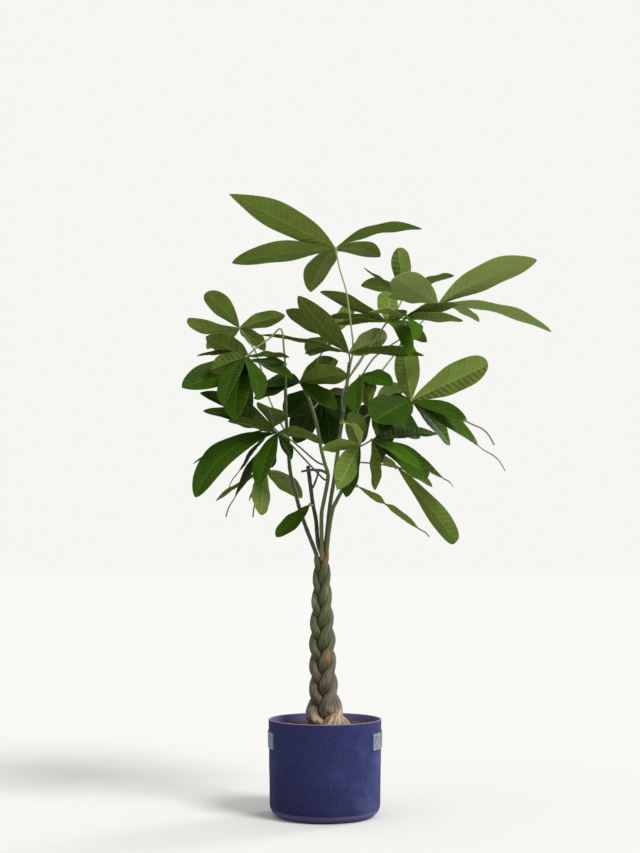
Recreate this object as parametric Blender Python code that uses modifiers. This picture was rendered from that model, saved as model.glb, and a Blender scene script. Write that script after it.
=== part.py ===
"""A money tree with five plaited stems, standing in a round felt planter with two webbing handles.

Everything is in millimetres until an object is made, and +Z is up. The origin is the centre of the
planter's flat base. Places in the crown are given as (x, z, y): x and z as they look on the upright
plane through the planter's axis, seen from EYE, and y as the depth behind that plane. The function
seen() turns such a place into a real point on its line of sight.
"""
import math

import bmesh
import bpy
from mathutils import Vector

MM = 0.001
WELD = 0.00001
SMOOTH_ANGLE = 40

# The standing viewpoint that the crown's places refer to
EYE = Vector((-10, -2800, 502))

# The felt planter
POT_RADIUS = 111.5
POT_HEIGHT = 194.0
POT_CORNER = 25.0
FELT = 4.5
RIM_EASE = 0.8
POT_SIDES = 40

# The webbing handles, measured round the planter from its front
STRAP_LOW = 137.5
STRAP_HIGH = 171.0
STRAP_THICK = 1.8
STRAP_MIDDLE = {"strap_left": -93.5, "strap_right": 86.5}
STRAP_HALF_TURN = 31.5
STRAP_STEPS = 10

# The soil, and the holes that the stems stand in
SOIL_TOP = 179.0
GAP = 0.3
PEG_RADIUS = 8.0
PEG_BOTTOM = 120.0
HOLE_SIDES = 16
HOLE_ABOVE = 20

# The plait: its half width and middle line at a few heights, the rise of one full turn, and where the
# two inner stems end behind the others
PLAIT_TOP = 519.0
PLAIT_TURN = 220.0
PLAIT_START = 239.0
PLAIT_FACING = math.radians(-25)
PLAIT_WIDE = 0.58
PLAIT_DEEP = 0.50
PLAIT_STEM = 0.43
PLAIT_HALF = ((179.4, 46.0), (190, 43.0), (203, 38.0), (222, 32.5), (250, 28.0), (280, 26.0),
              (350, 25.0), (400, 22.0), (440, 19.0), (480, 17.0), (519, 14.5))
PLAIT_MIDDLE = ((179.4, 2.5), (230, -1.5), (300, -4.5), (400, -6.0), (519, -6.5))
STEM_SIDES = 9
STEM_RINGS = 24
STEM_CLEAR = 1.6
LOOK_AROUND = 6.0
SIDE_ON = 0.05
STEMS = {"stem_right": 0, "stem_inner": 72, "stem_left": 144, "stem_back": 216, "stem_front": 288}
STEM_TOPS = {"stem_inner": 506.0, "stem_back": 506.0}

# Green shoots above the plait, as (x, z, y) places from the bottom up, with the radius at both ends
SHOOTS = {
    "left": ("stem_left", 4.4, 3.4, (
        (-16.4, 511, -3), (-17.4, 522, -1), (-25, 543, 7), (-36, 571, 6), (-50, 611, 4), (-58, 641, 0),
        (-66, 671, -4), (-71, 700, -8), (-74, 750, -14), (-78, 800, -18), (-79, 852, -18))),
    "cut": ("stem_front", 4.2, 4.0, (
        (-6.4, 511, -6.6), (-7, 523, -8), (-14, 544, -1), (-18, 591, 4), (-24, 621, 3), (-28, 651, 0),
        (-34, 699, -4))),
    "middle": ("stem_front", 4.4, 3.2, (
        (-6.2, 511, -6.8), (-5.8, 522, -9), (-6.5, 540, -9), (-7, 600, -10), (-3, 625, -9), (4, 661, -7),
        (6, 683, -5), (0, 703, 0), (-8, 735, 6), (-16, 780, 12), (-28, 820, 18), (-40, 850, 22))),
    "right": ("stem_right", 4.4, 3.2, (
        (3.6, 511, -3), (3.6, 522, -2), (4, 535, -4), (8, 571, -6), (15, 611, -7), (24, 631, -6), (34, 651, -3),
        (41, 675, 1), (48, 715, 4), (56, 760, 0), (63, 800, -8), (66, 832, -12))),
    "short twig": ("stem_front", 2.4, 1.8, ((-25, 655, 0), (-19, 668, -2), (-12, 690, -4))),
    "dry twig": ("stem_front", 3.0, 2.2, ((5, 684, -5), (-8, 690, -12), (-28, 691, -18), (-47, 688, -22))),
    "leader": ("stem_right", 4.4, 3.6, (
        (3.2, 511, -2.6), (2.6, 522, 2), (1, 535, 7), (5, 575, 10), (10, 621, 14), (18, 671, 18), (26, 731, 20),
        (34, 791, 18), (41, 840, 12), (46, 880, 5), (49, 906, 0))),
}
SHOOT_SIDES = 6

# Leaves
LEAF_THICK = 1.0
STALK_FOOT_RADIUS = 2.04
STALK_RADIUS = 1.7
STALK_CLEAR = 5.0
ROOT_GAP = 0.4
HUB_RADIUS = 3.6
BLADE_STEPS = 5
SMALL_BLADE = 44
SMALL_STEPS = 4
BLADE_SWELL = 0.95
BLADE_ROOT_HALF = 1.6
BLADE_TIP_HALF = 0.8


def blade(tip, width, turn, bow=0.05, blunt=0.75, fold=0.22, bend=0.0, tail=0.0):
    """A leaflet. turn is 0 where its upper side faces the viewer, 90 edge on and 180 from below.

    tail is the share of its length that is a thin drip tip."""
    return dict(tip=tip, width=width, turn=turn, bow=bow, blunt=blunt, fold=fold, bend=bend, tail=tail)


# Each leaf: the shoot and height that its stalk grows from, the stalk's way up, its hub and leaflets. One
# that joins another leaf forks off it, and the two are one piece.
LEAVES = {
    "leaf_top": dict(shoot="leader", height=893, hub=(21, 1134, -1), stalk=(
        (56, 935, 11), (52, 981, 11), (48, 1011, 8), (42, 1051, 5), (30, 1091, 2)), blades=(
        blade((-192, 1243, -65), 70, 143, 0.02, 1.0),
        blade((-186, 1105, 47), 60, 132, 0.04),
        blade((-28, 1047, 239), 62, 142, 0.06),
        blade((194, 1173, -33), 42, 119, 0.11),
        blade((110, 1117, 191), 52, 128, 0.05))),
    "leaf_far_left": dict(shoot="left", height=765, hub=(-171, 975, 68), stalk=(
        (-92, 790, 68), (-112, 835, 131), (-124, 880, 137), (-138, 925, 113), (-150, 945, 92)), blades=(
        blade((-236, 1047, 4), 46, 155, 0.04, 0.5),
        blade((-80, 1000, 52), 38, 150, 0.05),
        blade((-121, 929, 148), 38, 140, 0.06),
        blade((-276, 987, 84), 38, 137, -0.10, 0.4),
        blade((-236, 933, 164), 40, 140, 0.05))),
    "leaf_left_front": dict(shoot="left", height=848, hub=(-158, 917, -96), stalk=(
        (-78, 880, -51), (-82, 930, -72), (-88, 973, -78), (-110, 955, -81), (-134, 938, -90)), blades=(
        blade((-286, 856, -176), 58, 30, -0.04),
        blade((-256, 919, -112), 34, 104, 0.07),
        blade((-230, 891, -160), 40, 150, 0.05),
        blade((-204, 821, -224), 46, 50, 0.08),
        blade((-180, 791, -208), 62, 32, 0.08),
        blade((-134, 831, -208), 44, 48, 0.08),
        blade((-71, 916, -80), 32, 110, 0.05))),
    "leaf_left_back": dict(joins="leaf_left_front", hub=(-150, 911, 9), stalk=(
        (-78, 880, -51), (-104, 892, -33), (-128, 904, -10)), blades=(
        blade((-238, 958, -39), 52, 142, 0.05),
        blade((-76, 901, 57), 32, 108, 0.05),
        blade((-66, 873, -135), 40, 62, 0.04),
        blade((-150, 795, -55), 48, 45, 0.08))),
    "leaf_low_left": dict(shoot="middle", height=702, hub=(-96, 765, -75), stalk=(
        (-20, 710, -21), (-52, 738, -48), (-78, 758, -69)), blades=(
        blade((-260, 637, -171), 62, 40, 0.10, 0.6, bend=0.10),
        blade((-194, 789, -91), 40, 120, 0.06),
        blade((-134, 657, -155), 44, 35, 0.06),
        blade((-198, 597, -107), 36, 66, 0.04, tail=0.22),
        blade((0, 743, -139), 42, 118, 0.08),
        blade((-108, 696, -11), 30, 40, 0.05),
        blade((-66, 713, -43), 32, 50, 0.05))),
    "leaf_low_left_back": dict(shoot="middle", height=672, hub=(-104, 776, 3), stalk=(
        (-14, 684, 12), (-44, 716, 21), (-78, 752, 15)), blades=(
        blade((-250, 845, -61), 42, 45, 0.07),
        blade((-244, 809, 3), 38, 50, 0.06),
        blade((-112, 817, -173), 62, 150, 0.04, 0.5),
        blade((-264, 703, -13), 22, 70, 0.05),
        blade((-192, 655, 19), 22, 70, 0.03, tail=0.25))),
    "leaf_under_left": dict(shoot="left", height=668, hub=(-118, 691, 17), stalk=(
        (-78, 680, 5), (-96, 688, 14)), blades=(
        blade((-128, 601, -63), 42, 150, 0.05),
        blade((-46, 635, 65), 42, 145, 0.06),
        blade((-218, 629, 49), 26, 110, 0.03),
        blade((-152, 629, 81), 20, 70, 0.03),
        blade((-144, 597, -15), 24, 60, 0.03, tail=0.40))),
    "leaflet_low": dict(shoot="cut", height=621, hub=(-30, 622, -16), stalk=(), blades=(
        blade((-97, 557, -80), 34, 30, 0.0, 0.6),)),
    "leaf_middle": dict(shoot="leader", height=902, hub=(48, 925, -39), stalk=(
        (50, 908, -21),), blades=(
        blade((-54, 1039, -142), 50, 148, -0.02),
        blade((124, 957, 98), 52, 150, 0.05, 0.5),
        blade((198, 920, -94), 40, 117, 0.04),
        blade((-130, 961, -30), 30, 104, 0.03),
        blade((-40, 923, 50), 30, 108, 0.06))),
    "leaf_middle_back": dict(shoot="middle", height=846, hub=(10, 957, 109), stalk=(
        (-38, 862, 40), (-26, 889, 64), (0, 937, 97)), blades=(
        blade((-78, 1011, 77), 44, 142, 0.04),
        blade((-56, 985, 157), 40, 120, 0.05),
        blade((-30, 919, 221), 56, 140, 0.06),
        blade((60, 1019, 189), 40, 142, 0.05, 0.5))),
    "leaf_right_small": dict(shoot="leader", height=812, hub=(124, 987, 43), stalk=(
        (34, 830, -20), (38, 852, -32), (60, 896, -20), (98, 950, 25)), blades=(
        blade((-10, 1047, 85), 46, 122, 0.03),
        blade((2, 995, 117), 30, 117, 0.04),
        blade((16, 981, 53), 26, 115, 0.04),
        blade((130, 1047, 85), 50, 155, 0.03, 0.5),
        blade((164, 1009, 21), 26, 140, 0.05),
        blade((172, 915, -155), 34, 40, 0.10),
        blade((204, 947, 53), 40, 135, 0.08))),
    "leaf_right_near": dict(shoot="leader", height=858, hub=(158, 993, -55), stalk=(
        (66, 868, -4), (96, 913, 2), (128, 938, 26), (160, 962, 20)), blades=(
        blade((276, 990, -161), 40, 117, 0.03),
        blade((268, 1023, -145), 40, 120, 0.03),
        blade((90, 1007, -193), 24, 120, 0.05),
        blade((178, 951, -209), 34, 60, 0.10))),
    "leaf_far_right": dict(shoot="right", height=828, hub=(226, 1023, -9), stalk=(
        (84, 850, -15), (122, 900, -9), (170, 960, 0), (206, 1000, -3)), blades=(
        blade((424, 1111, -57), 76, 132, 0.06),
        blade((453, 967, 23), 58, 110, 0.075),
        blade((140, 1077, -89), 68, 145, 0.0, 0.5),
        blade((126, 1037, 7), 48, 118, 0.05),
        blade((308, 987, 103), 34, 112, 0.06))),
    "leaf_top_right": dict(shoot="leader", height=875, hub=(160, 1045, 177), stalk=(
        (66, 900, 72), (104, 960, 147), (144, 1012, 174)), blades=(
        blade((146, 1135, 209), 46, 155, 0.0, 0.5),
        blade((78, 1095, 161), 30, 98, -0.03),
        blade((72, 1059, 241), 44, 128, 0.08),
        blade((106, 1035, 161), 34, 120, 0.05),
        blade((258, 1079, 225), 40, 112, 0.05))),
    "leaf_right": dict(shoot="right", height=780, hub=(172, 829, -88), stalk=(
        (84, 800, -34), (130, 816, -67)), blades=(
        blade((326, 903, -24), 66, 150, 0.02, 0.45),
        blade((156, 953, 24), 54, 158, 0.0),
        blade((338, 741, -168), 50, 56, 0.06, 0.8, bend=-0.06, tail=0.37),
        blade((305, 745, -88), 44, 50, 0.06, 0.9),
        blade((360, 689, -40), 40, 62, 0.03, 0.9, bend=-0.03, tail=0.30),
        blade((250, 741, -8), 44, 50, 0.06),
        blade((98, 789, -232), 74, 30, 0.05, 0.5),
        blade((104, 829, 8), 30, 60, 0.05))),
    "leaf_right_low": dict(shoot="right", height=722, hub=(94, 751, -92), stalk=(
        (60, 732, -32), (78, 742, -68)), blades=(
        blade((190, 695, -172), 40, 60, 0.05),
        blade((206, 677, -92), 56, 40, 0.08, 0.45),
        blade((256, 657, -44), 36, 62, 0.06, tail=0.15),
        blade((110, 701, -12), 44, 40, 0.05),
        blade((100, 651, -124), 34, 130, 0.04),
        blade((226, 763, 20), 44, 60, 0.05))),
    "leaf_right_hanging": dict(shoot="right", height=690, hub=(144, 697, 29), stalk=(
        (60, 705, 14), (96, 704, 23)), blades=(
        blade((262, 547, -35), 46, 148, 0.03, 0.35),
        blade((214, 657, 93), 30, 120, 0.05),
        blade((112, 707, 125), 30, 130, 0.05))),
    "leaf_twisted": dict(shoot="right", height=655, hub=(64, 659, 7), stalk=(), blades=(
        blade((208, 557, -15), 34, 118, 0.02, 0.9, tail=0.15),)),
    "leaf_centre_low": dict(shoot="right", height=745, hub=(70, 741, -166), stalk=(
        (58, 745, -61), (64, 746, -121)), blades=(
        blade((24, 651, -214), 50, 150, 0.04),
        blade((42, 637, -134), 46, 38, 0.06),
        blade((-6, 733, -182), 30, 140, 0.06),
        blade((30, 785, -230), 30, 110, 0.20),
        blade((46, 805, -86), 50, 150, 0.05))),
    "leaf_centre": dict(shoot="leader", height=850, hub=(70, 879, -110), stalk=(
        (56, 862, -41), (66, 874, -80)), blades=(
        blade((136, 861, -174), 40, 40, 0.08),
        blade((90, 823, -174), 44, 140, 0.06),
        blade((64, 803, -206), 40, 40, 0.08))),
    "leaf_centre_left": dict(shoot="middle", height=842, hub=(-50, 866, -4), stalk=(
        (-46, 860, 5),), blades=(
        blade((43, 884, -107), 50, 146, 0.05),
        blade((22, 812, -62), 46, 44, 0.05),
        blade((26, 909, 21), 54, 142, 0.05),
        blade((-26, 891, 85), 20, 110, 0.05),
        blade((-126, 863, 85), 56, 62, 0.04),
        blade((-142, 835, 53), 52, 58, 0.05))),
    "leaf_heart": dict(shoot="middle", height=815, hub=(-6, 845, 96), stalk=(
        (-14, 826, 51),), blades=(
        blade((-78, 797, 32), 74, 40, 0.06),
        blade((-60, 745, 112), 72, 35, 0.06),
        blade((12, 735, 128), 68, 35, 0.06),
        blade((56, 785, 64), 66, 40, 0.06),
        blade((36, 824, 192), 60, 140, 0.06))),
    "leaf_heart_right": dict(joins="leaf_heart", hub=(96, 823, 64), stalk=(
        (-6, 845, 96), (40, 840, 84)), blades=(
        blade((130, 741, 96), 66, 38, 0.06),
        blade((190, 755, 96), 58, 42, 0.06),
        blade((62, 753, 192), 64, 38, 0.06),
        blade((160, 851, 176), 50, 140, 0.06))),
}


def clear_scene():
    """Removes whatever the scene holds."""
    for ob in list(bpy.data.objects):
        bpy.data.objects.remove(ob)


def new_collection(name):
    """A collection linked to the scene."""
    group = bpy.data.collections.new(name)
    bpy.context.scene.collection.children.link(group)
    return group


def new_material(name, colour, roughness):
    """A plain Principled material."""
    mat = bpy.data.materials.new(name)
    mat.use_nodes = True
    node = mat.node_tree.nodes["Principled BSDF"]
    node.inputs["Base Color"].default_value = (*colour, 1)
    node.inputs["Roughness"].default_value = roughness
    mat.diffuse_color = (*colour, 1)
    return mat


def new_object(name, bm, mat, group):
    """An object from a bmesh in millimetres, with outward faces and smooth shading."""
    bmesh.ops.scale(bm, vec=(MM, MM, MM), verts=bm.verts)
    mesh = bpy.data.meshes.new(name)
    bm.to_mesh(mesh)
    bm.free()
    mesh.materials.append(mat)
    mesh.shade_smooth()
    mesh.set_sharp_from_angle(angle=math.radians(SMOOTH_ANGLE))
    ob = bpy.data.objects.new(name, mesh)
    group.objects.link(ob)
    return ob


def seen(x, z, y):
    """The point at depth y that is seen at (x, z) on the plane through the planter's axis."""
    on_plane = Vector((x, 0, z))
    reach = (y - EYE.y) / -EYE.y
    return EYE + (on_plane - EYE) * reach


def level(table, height):
    """The value at a height, read straight between a table's rows."""
    for (low, a), (high, b) in zip(table, table[1:]):
        if height <= high:
            return a + (b - a) * max(0.0, (height - low) / (high - low))
    return table[-1][1]


def turned(name, profile, sides, mat, group):
    """A turned solid: its (radius, height) profile runs down the outer side."""
    bm = bmesh.new()
    verts = [bm.verts.new((r, 0, z)) for r, z in profile]
    for a, b in zip(verts, verts[1:]):
        bm.edges.new((a, b))
    ob = new_object(name, bm, mat, group)
    screw = ob.modifiers.new("turn", "SCREW")
    screw.axis = "Z"
    screw.steps = sides
    screw.render_steps = sides
    screw.use_merge_vertices = True
    screw.merge_threshold = 0.0001
    screw.use_smooth_shade = True
    return ob


def corner(radius, height, size, steps):
    """The points of a rounded lower corner, from the wall to the base."""
    points = []
    for k in range(steps + 1):
        angle = math.pi / 2 * k / steps
        points.append((radius - size + size * math.cos(angle), height + size - size * math.sin(angle)))
    return points


def build_pot(mat, group):
    """The felt planter: an even wall round a rounded base, open at the top."""
    inner = POT_RADIUS - FELT
    inside = corner(inner, FELT, POT_CORNER - FELT, 2)
    outside = corner(POT_RADIUS, 0, POT_CORNER, 4)
    eased = POT_HEIGHT - RIM_EASE
    rim = [(inner, eased), (inner + RIM_EASE, POT_HEIGHT),
           (POT_RADIUS - RIM_EASE, POT_HEIGHT), (POT_RADIUS, eased)]
    profile = [(0, FELT)] + inside[::-1] + rim + outside + [(0, 0)]
    turned("felt_pot", profile, POT_SIDES, mat, group)


def build_strap(name, mat, group):
    """A webbing handle lying flat on the planter's side."""
    bm = bmesh.new()
    bmesh.ops.create_grid(bm, x_segments=STRAP_STEPS, y_segments=1, size=1)
    radius = POT_RADIUS + GAP + STRAP_THICK / 2
    for vert in bm.verts:
        turn = math.radians(STRAP_MIDDLE[name] + STRAP_HALF_TURN * vert.co.x)
        height = STRAP_LOW + (STRAP_HIGH - STRAP_LOW) * (vert.co.y + 1) / 2
        vert.co = (radius * math.sin(turn), -radius * math.cos(turn), height)
    ob = new_object(name, bm, mat, group)
    shell = ob.modifiers.new("thickness", "SOLIDIFY")
    shell.thickness = STRAP_THICK * MM
    shell.offset = 0


def plait_place(phase, height):
    """A stem's middle and full radius in the plait. phase is in degrees."""
    half = level(PLAIT_HALF, height)
    turn = math.radians(phase + 360 * (height - PLAIT_START) / PLAIT_TURN)
    across = PLAIT_WIDE * half * math.sin(turn)
    deep = -PLAIT_DEEP * half * math.sin(2 * turn)
    x = level(PLAIT_MIDDLE, height) + across * math.cos(PLAIT_FACING) - deep * math.sin(PLAIT_FACING)
    y = across * math.sin(PLAIT_FACING) + deep * math.cos(PLAIT_FACING)
    return Vector((x, y, height)), PLAIT_STEM * half


def free_reach(phase, others, height, way):
    """How far a stem may reach that way before it meets its neighbours, a little below and above too."""
    reaches = []
    for near in (height - LOOK_AROUND, height, height + LOOK_AROUND):
        middle = plait_place(phase, near)[0]
        for other in others:
            to_other = plait_place(other, near)[0] - middle
            facing = way.dot(to_other.normalized())
            if facing > SIDE_ON:
                reaches.append((to_other.length / 2 - STEM_CLEAR) / facing)
    return reaches


def stem_ring(phase, others, height):
    """A stem's outline at a height: round, and pressed flat where it meets the others."""
    middle, radius = plait_place(phase, height)
    ring = []
    for k in range(STEM_SIDES):
        angle = 2 * math.pi * k / STEM_SIDES
        way = Vector((math.cos(angle), math.sin(angle), 0))
        ring.append(middle + way * min([radius] + free_reach(phase, others, height, way)))
    return ring


def loft(bm, rings):
    """A closed solid through rings of equally many points, with flat ends."""
    loops = [[bm.verts.new(point) for point in ring] for ring in rings]
    sides = len(loops[0])
    for low, high in zip(loops, loops[1:]):
        for k in range(sides):
            n = (k + 1) % sides
            bm.faces.new((low[k], low[n], high[n], high[k]))
    bm.faces.new(loops[0][::-1])
    bm.faces.new(loops[-1])


def build_stem(name, mat, group, tools):
    """A plaited stem on its peg in the soil, joined with the green shoots that grow from its top."""
    phase = STEMS[name]
    others = [p for other, p in STEMS.items() if other != name]
    low = SOIL_TOP + GAP
    top = STEM_TOPS.get(name, PLAIT_TOP)
    foot = plait_place(phase, low)[0]
    rings = []
    for height in (PEG_BOTTOM, low):
        rings.append([Vector((foot.x + PEG_RADIUS * math.cos(2 * math.pi * k / STEM_SIDES),
                              foot.y + PEG_RADIUS * math.sin(2 * math.pi * k / STEM_SIDES),
                              height)) for k in range(STEM_SIDES)])
    for k in range(STEM_RINGS + 1):
        rings.append(stem_ring(phase, others, low + (top - low) * k / STEM_RINGS))
    bm = bmesh.new()
    loft(bm, rings)
    stem = new_object(name, bm, mat, group)
    pieces = [tube(shoot, way, start, end, mat, tools)
              for shoot, (home, start, end, way) in SHOOTS.items() if home == name]
    if pieces:
        join(stem, pieces)


def tube(name, places, start, end, mat, group):
    """A round shoot or stalk through (x, z, y) places, thinning evenly, made a welded mesh."""
    line = [seen(*place) for place in places]
    curve = bpy.data.curves.new(name, "CURVE")
    curve.dimensions = "3D"
    curve.bevel_depth = MM
    curve.bevel_resolution = SHOOT_SIDES // 2 - 2
    curve.use_fill_caps = True
    spline = curve.splines.new("POLY")
    spline.points.add(len(line) - 1)
    for k, (knot, point) in enumerate(zip(spline.points, line)):
        knot.co = (*(point * MM), 1)
        knot.radius = start + (end - start) * k / (len(line) - 1)
    guide = bpy.data.objects.new(name, curve)
    group.objects.link(guide)
    bpy.context.view_layer.update()
    seen_curve = guide.evaluated_get(bpy.context.evaluated_depsgraph_get())
    mesh = bpy.data.meshes.new_from_object(seen_curve)
    bpy.data.objects.remove(guide)
    bm = bmesh.new()
    bm.from_mesh(mesh)
    bmesh.ops.remove_doubles(bm, verts=bm.verts, dist=WELD)
    bm.to_mesh(mesh)
    bm.free()
    mesh.materials.clear()
    mesh.materials.append(mat)
    ob = bpy.data.objects.new(name, mesh)
    group.objects.link(ob)
    return ob


def join(body, pieces):
    """Joins pieces to a body by one Boolean union, applied, and removes them."""
    group = bpy.data.collections.new(body.name + "_pieces")
    for piece in pieces:
        group.objects.link(piece)
    union = body.modifiers.new("join", "BOOLEAN")
    union.operation = "UNION"
    union.operand_type = "COLLECTION"
    union.collection = group
    union.solver = "MANIFOLD"
    bpy.context.view_layer.update()
    done = body.evaluated_get(bpy.context.evaluated_depsgraph_get())
    mesh = bpy.data.meshes.new_from_object(done)
    body.modifiers.clear()
    body.data = mesh
    mesh.shade_smooth()
    mesh.set_sharp_from_angle(angle=math.radians(SMOOTH_ANGLE))
    for piece in pieces:
        bpy.data.objects.remove(piece)
    bpy.data.collections.remove(group)


def shoot_place(shoot, height):
    """The middle of a shoot at a seen height, its direction and its radius there."""
    start, end, way = SHOOTS[shoot][1:]
    for k, (a, b) in enumerate(zip(way, way[1:])):
        if height <= b[1]:
            part = (height - a[1]) / (b[1] - a[1])
            place = Vector(a).lerp(Vector(b), part)
            along = (Vector(b) - Vector(a)).normalized()
            return place, along, start + (end - start) * (k + part) / (len(way) - 1)
    return None


def stalk_places(leaf):
    """The places along a leaf's stalk: square off its shoot, or from the leaf it joins, on to the hub."""
    way = [Vector(place) for place in (*leaf["stalk"], leaf["hub"])]
    if "joins" in leaf:
        return way
    middle, along, radius = shoot_place(leaf["shoot"], leaf["height"])
    out = way[0] - middle
    out = (out - along * out.dot(along)).normalized()
    root = middle + out * (radius + ROOT_GAP)
    clear = middle + out * (radius + STALK_CLEAR)
    return [root, clear, *way]


def blade_point(hub, spec, along, across):
    """A point of a leaflet: along runs 0 to 1 up its midrib, across -1 to 1 over its width."""
    tip = seen(*spec["tip"])
    run = tip - hub
    size = run.length
    ahead = run / size
    to_eye = EYE - (hub + tip) / 2
    to_eye = (to_eye - ahead * to_eye.dot(ahead)).normalized()
    rise = to_eye.cross(ahead)
    if rise.z < 0:
        rise = -rise
    turn = math.radians(spec["turn"])
    face = to_eye * math.cos(turn) + rise * math.sin(turn)
    side = ahead.cross(face)
    wave = 4 * along * (1 - along)
    peak = BLADE_SWELL / (BLADE_SWELL + spec["blunt"])
    share = min(1.0, along / (1 - spec["tail"]))
    shape = (share / peak) ** BLADE_SWELL * ((1 - share) / (1 - peak)) ** spec["blunt"]
    least = BLADE_ROOT_HALF + (BLADE_TIP_HALF - BLADE_ROOT_HALF) * along
    half = max(spec["width"] / 2 * shape, least)
    return (hub + run * along + face * (wave * spec["bow"] * size + (abs(across) - 0.5) * half * spec["fold"])
            + side * (across * half + wave * spec["bend"] * size))


def build_blade(name, hub, spec, mat, group):
    """One leaflet: a folded, bowed sheet with the leaf's thickness."""
    bm = bmesh.new()
    steps = BLADE_STEPS if spec["width"] > SMALL_BLADE else SMALL_STEPS
    bmesh.ops.create_grid(bm, x_segments=steps, y_segments=2, size=1)
    for vert in bm.verts:
        vert.co = blade_point(hub, spec, (vert.co.x + 1) / 2, vert.co.y)
    bmesh.ops.triangulate(bm, faces=bm.faces)
    ob = new_object(name, bm, mat, group)
    shell = ob.modifiers.new("thickness", "SOLIDIFY")
    shell.thickness = LEAF_THICK * MM
    shell.offset = 0
    return ob


def leaf_hand(name, leaf, mat, tools):
    """A leaf's small hub and the leaflets sunk into it, still to be joined."""
    hub = seen(*leaf["hub"])
    bm = bmesh.new()
    bmesh.ops.create_icosphere(bm, subdivisions=1, radius=HUB_RADIUS)
    bmesh.ops.translate(bm, vec=hub, verts=bm.verts)
    pieces = [new_object(name + "_hub", bm, mat, tools)]
    for k, spec in enumerate(leaf["blades"]):
        pieces.append(build_blade(f"{name}_{k}", hub, spec, mat, tools))
    return pieces


def build_leaf(name, leaf, mat, group, tools):
    """A palmate leaf: a stalk and its leaflets, with those of a leaf that forks off it."""
    stalk = tube(name, stalk_places(leaf), STALK_FOOT_RADIUS, STALK_RADIUS, mat, group)
    pieces = leaf_hand(name, leaf, mat, tools)
    for fork, other in LEAVES.items():
        if other.get("joins") == name:
            pieces.append(tube(fork, stalk_places(other), STALK_FOOT_RADIUS, STALK_RADIUS, mat, tools))
            pieces += leaf_hand(fork, other, mat, tools)
    join(stalk, pieces)


def build_soil(mat, group, tools):
    """The soil in the planter, with a plain hole for each stem."""
    wall = POT_RADIUS - FELT - GAP
    foot = corner(wall, FELT + GAP, POT_CORNER - FELT, 2)
    profile = [(0, SOIL_TOP), (wall, SOIL_TOP)] + foot + [(0, FELT + GAP)]
    soil = turned("soil", profile, POT_SIDES, mat, group)
    for name, phase in STEMS.items():
        foot = plait_place(phase, SOIL_TOP + GAP)[0]
        bm = bmesh.new()
        depth = SOIL_TOP - PEG_BOTTOM + HOLE_ABOVE
        bmesh.ops.create_cone(bm, cap_ends=True, segments=HOLE_SIDES, radius1=PEG_RADIUS + GAP,
                              radius2=PEG_RADIUS + GAP, depth=depth)
        bmesh.ops.translate(bm, vec=(foot.x, foot.y, PEG_BOTTOM - GAP + depth / 2), verts=bm.verts)
        hole = new_object(name + "_hole", bm, mat, tools)
        hole.hide_render = True
        hole.display_type = "WIRE"
        cut = soil.modifiers.new(name, "BOOLEAN")
        cut.operation = "DIFFERENCE"
        cut.object = hole


def main():
    clear_scene()
    group = new_collection("money_tree")
    tools = new_collection("cutters")
    felt = new_material("felt", (0.035, 0.035, 0.12), 0.95)
    webbing = new_material("webbing", (0.12, 0.15, 0.25), 0.8)
    earth = new_material("soil", (0.05, 0.028, 0.018), 1.0)
    bark = new_material("bark", (0.13, 0.12, 0.07), 0.8)
    green = new_material("leaf", (0.06, 0.12, 0.02), 0.45)
    build_pot(felt, group)
    for name in STRAP_MIDDLE:
        build_strap(name, webbing, group)
    build_soil(earth, group, tools)
    for name in STEMS:
        build_stem(name, bark, group, tools)
    for name, leaf in LEAVES.items():
        if "joins" not in leaf:
            build_leaf(name, leaf, green, group, tools)


main()
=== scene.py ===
"""A braided money tree in a navy felt planter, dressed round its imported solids.

Sizes are in millimetres until a mesh is made. Places in the crown are (x, z, y): x and z as they look
on the upright plane through the planter's axis, seen from EYE, and y as the depth behind that plane.
"""
import math
import random

import bmesh
import bpy
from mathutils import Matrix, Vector, noise


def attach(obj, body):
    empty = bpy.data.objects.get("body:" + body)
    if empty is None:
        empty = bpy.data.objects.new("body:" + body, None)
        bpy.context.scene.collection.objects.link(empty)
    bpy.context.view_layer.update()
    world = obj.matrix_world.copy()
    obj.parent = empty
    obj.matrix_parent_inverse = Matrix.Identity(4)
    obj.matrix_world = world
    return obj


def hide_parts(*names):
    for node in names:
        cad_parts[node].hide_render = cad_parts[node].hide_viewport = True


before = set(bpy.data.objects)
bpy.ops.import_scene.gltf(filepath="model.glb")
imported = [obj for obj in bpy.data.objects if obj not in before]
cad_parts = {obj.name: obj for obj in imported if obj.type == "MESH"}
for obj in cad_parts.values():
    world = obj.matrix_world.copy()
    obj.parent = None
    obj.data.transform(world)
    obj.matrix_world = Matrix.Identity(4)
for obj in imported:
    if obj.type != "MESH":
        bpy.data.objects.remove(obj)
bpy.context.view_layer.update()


# The felt planter
# A round planter of thick navy felt: a rolled wall sewn to a rounded base, with its rim cut and left raw.
# The wall is a little uneven and wider at the top. The raw rim and the base seam show as pale lines, the
# rim's partly a painted highlight. Painted light brightens the felt to the right, with painted glints on its
# fibres there, and painted shade darkens it towards the base.
MM = 0.001
POT_RADIUS = 111.5
POT_FLARE = 1.2
POT_HEIGHT = 194.0
POT_CORNER = 25.0
FELT = 4.5
POT_SIDES = 144
WALL_ROWS = 48
WALL_UNEVEN = 0.5
SEAM_HEIGHT = 9.5
SEAM_PROUD = 0.7
SEAM_HALF = 1.2
FLOOR_ROWS = 10
BEND_ROWS = 8
BASE_ROWS = 24


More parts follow.
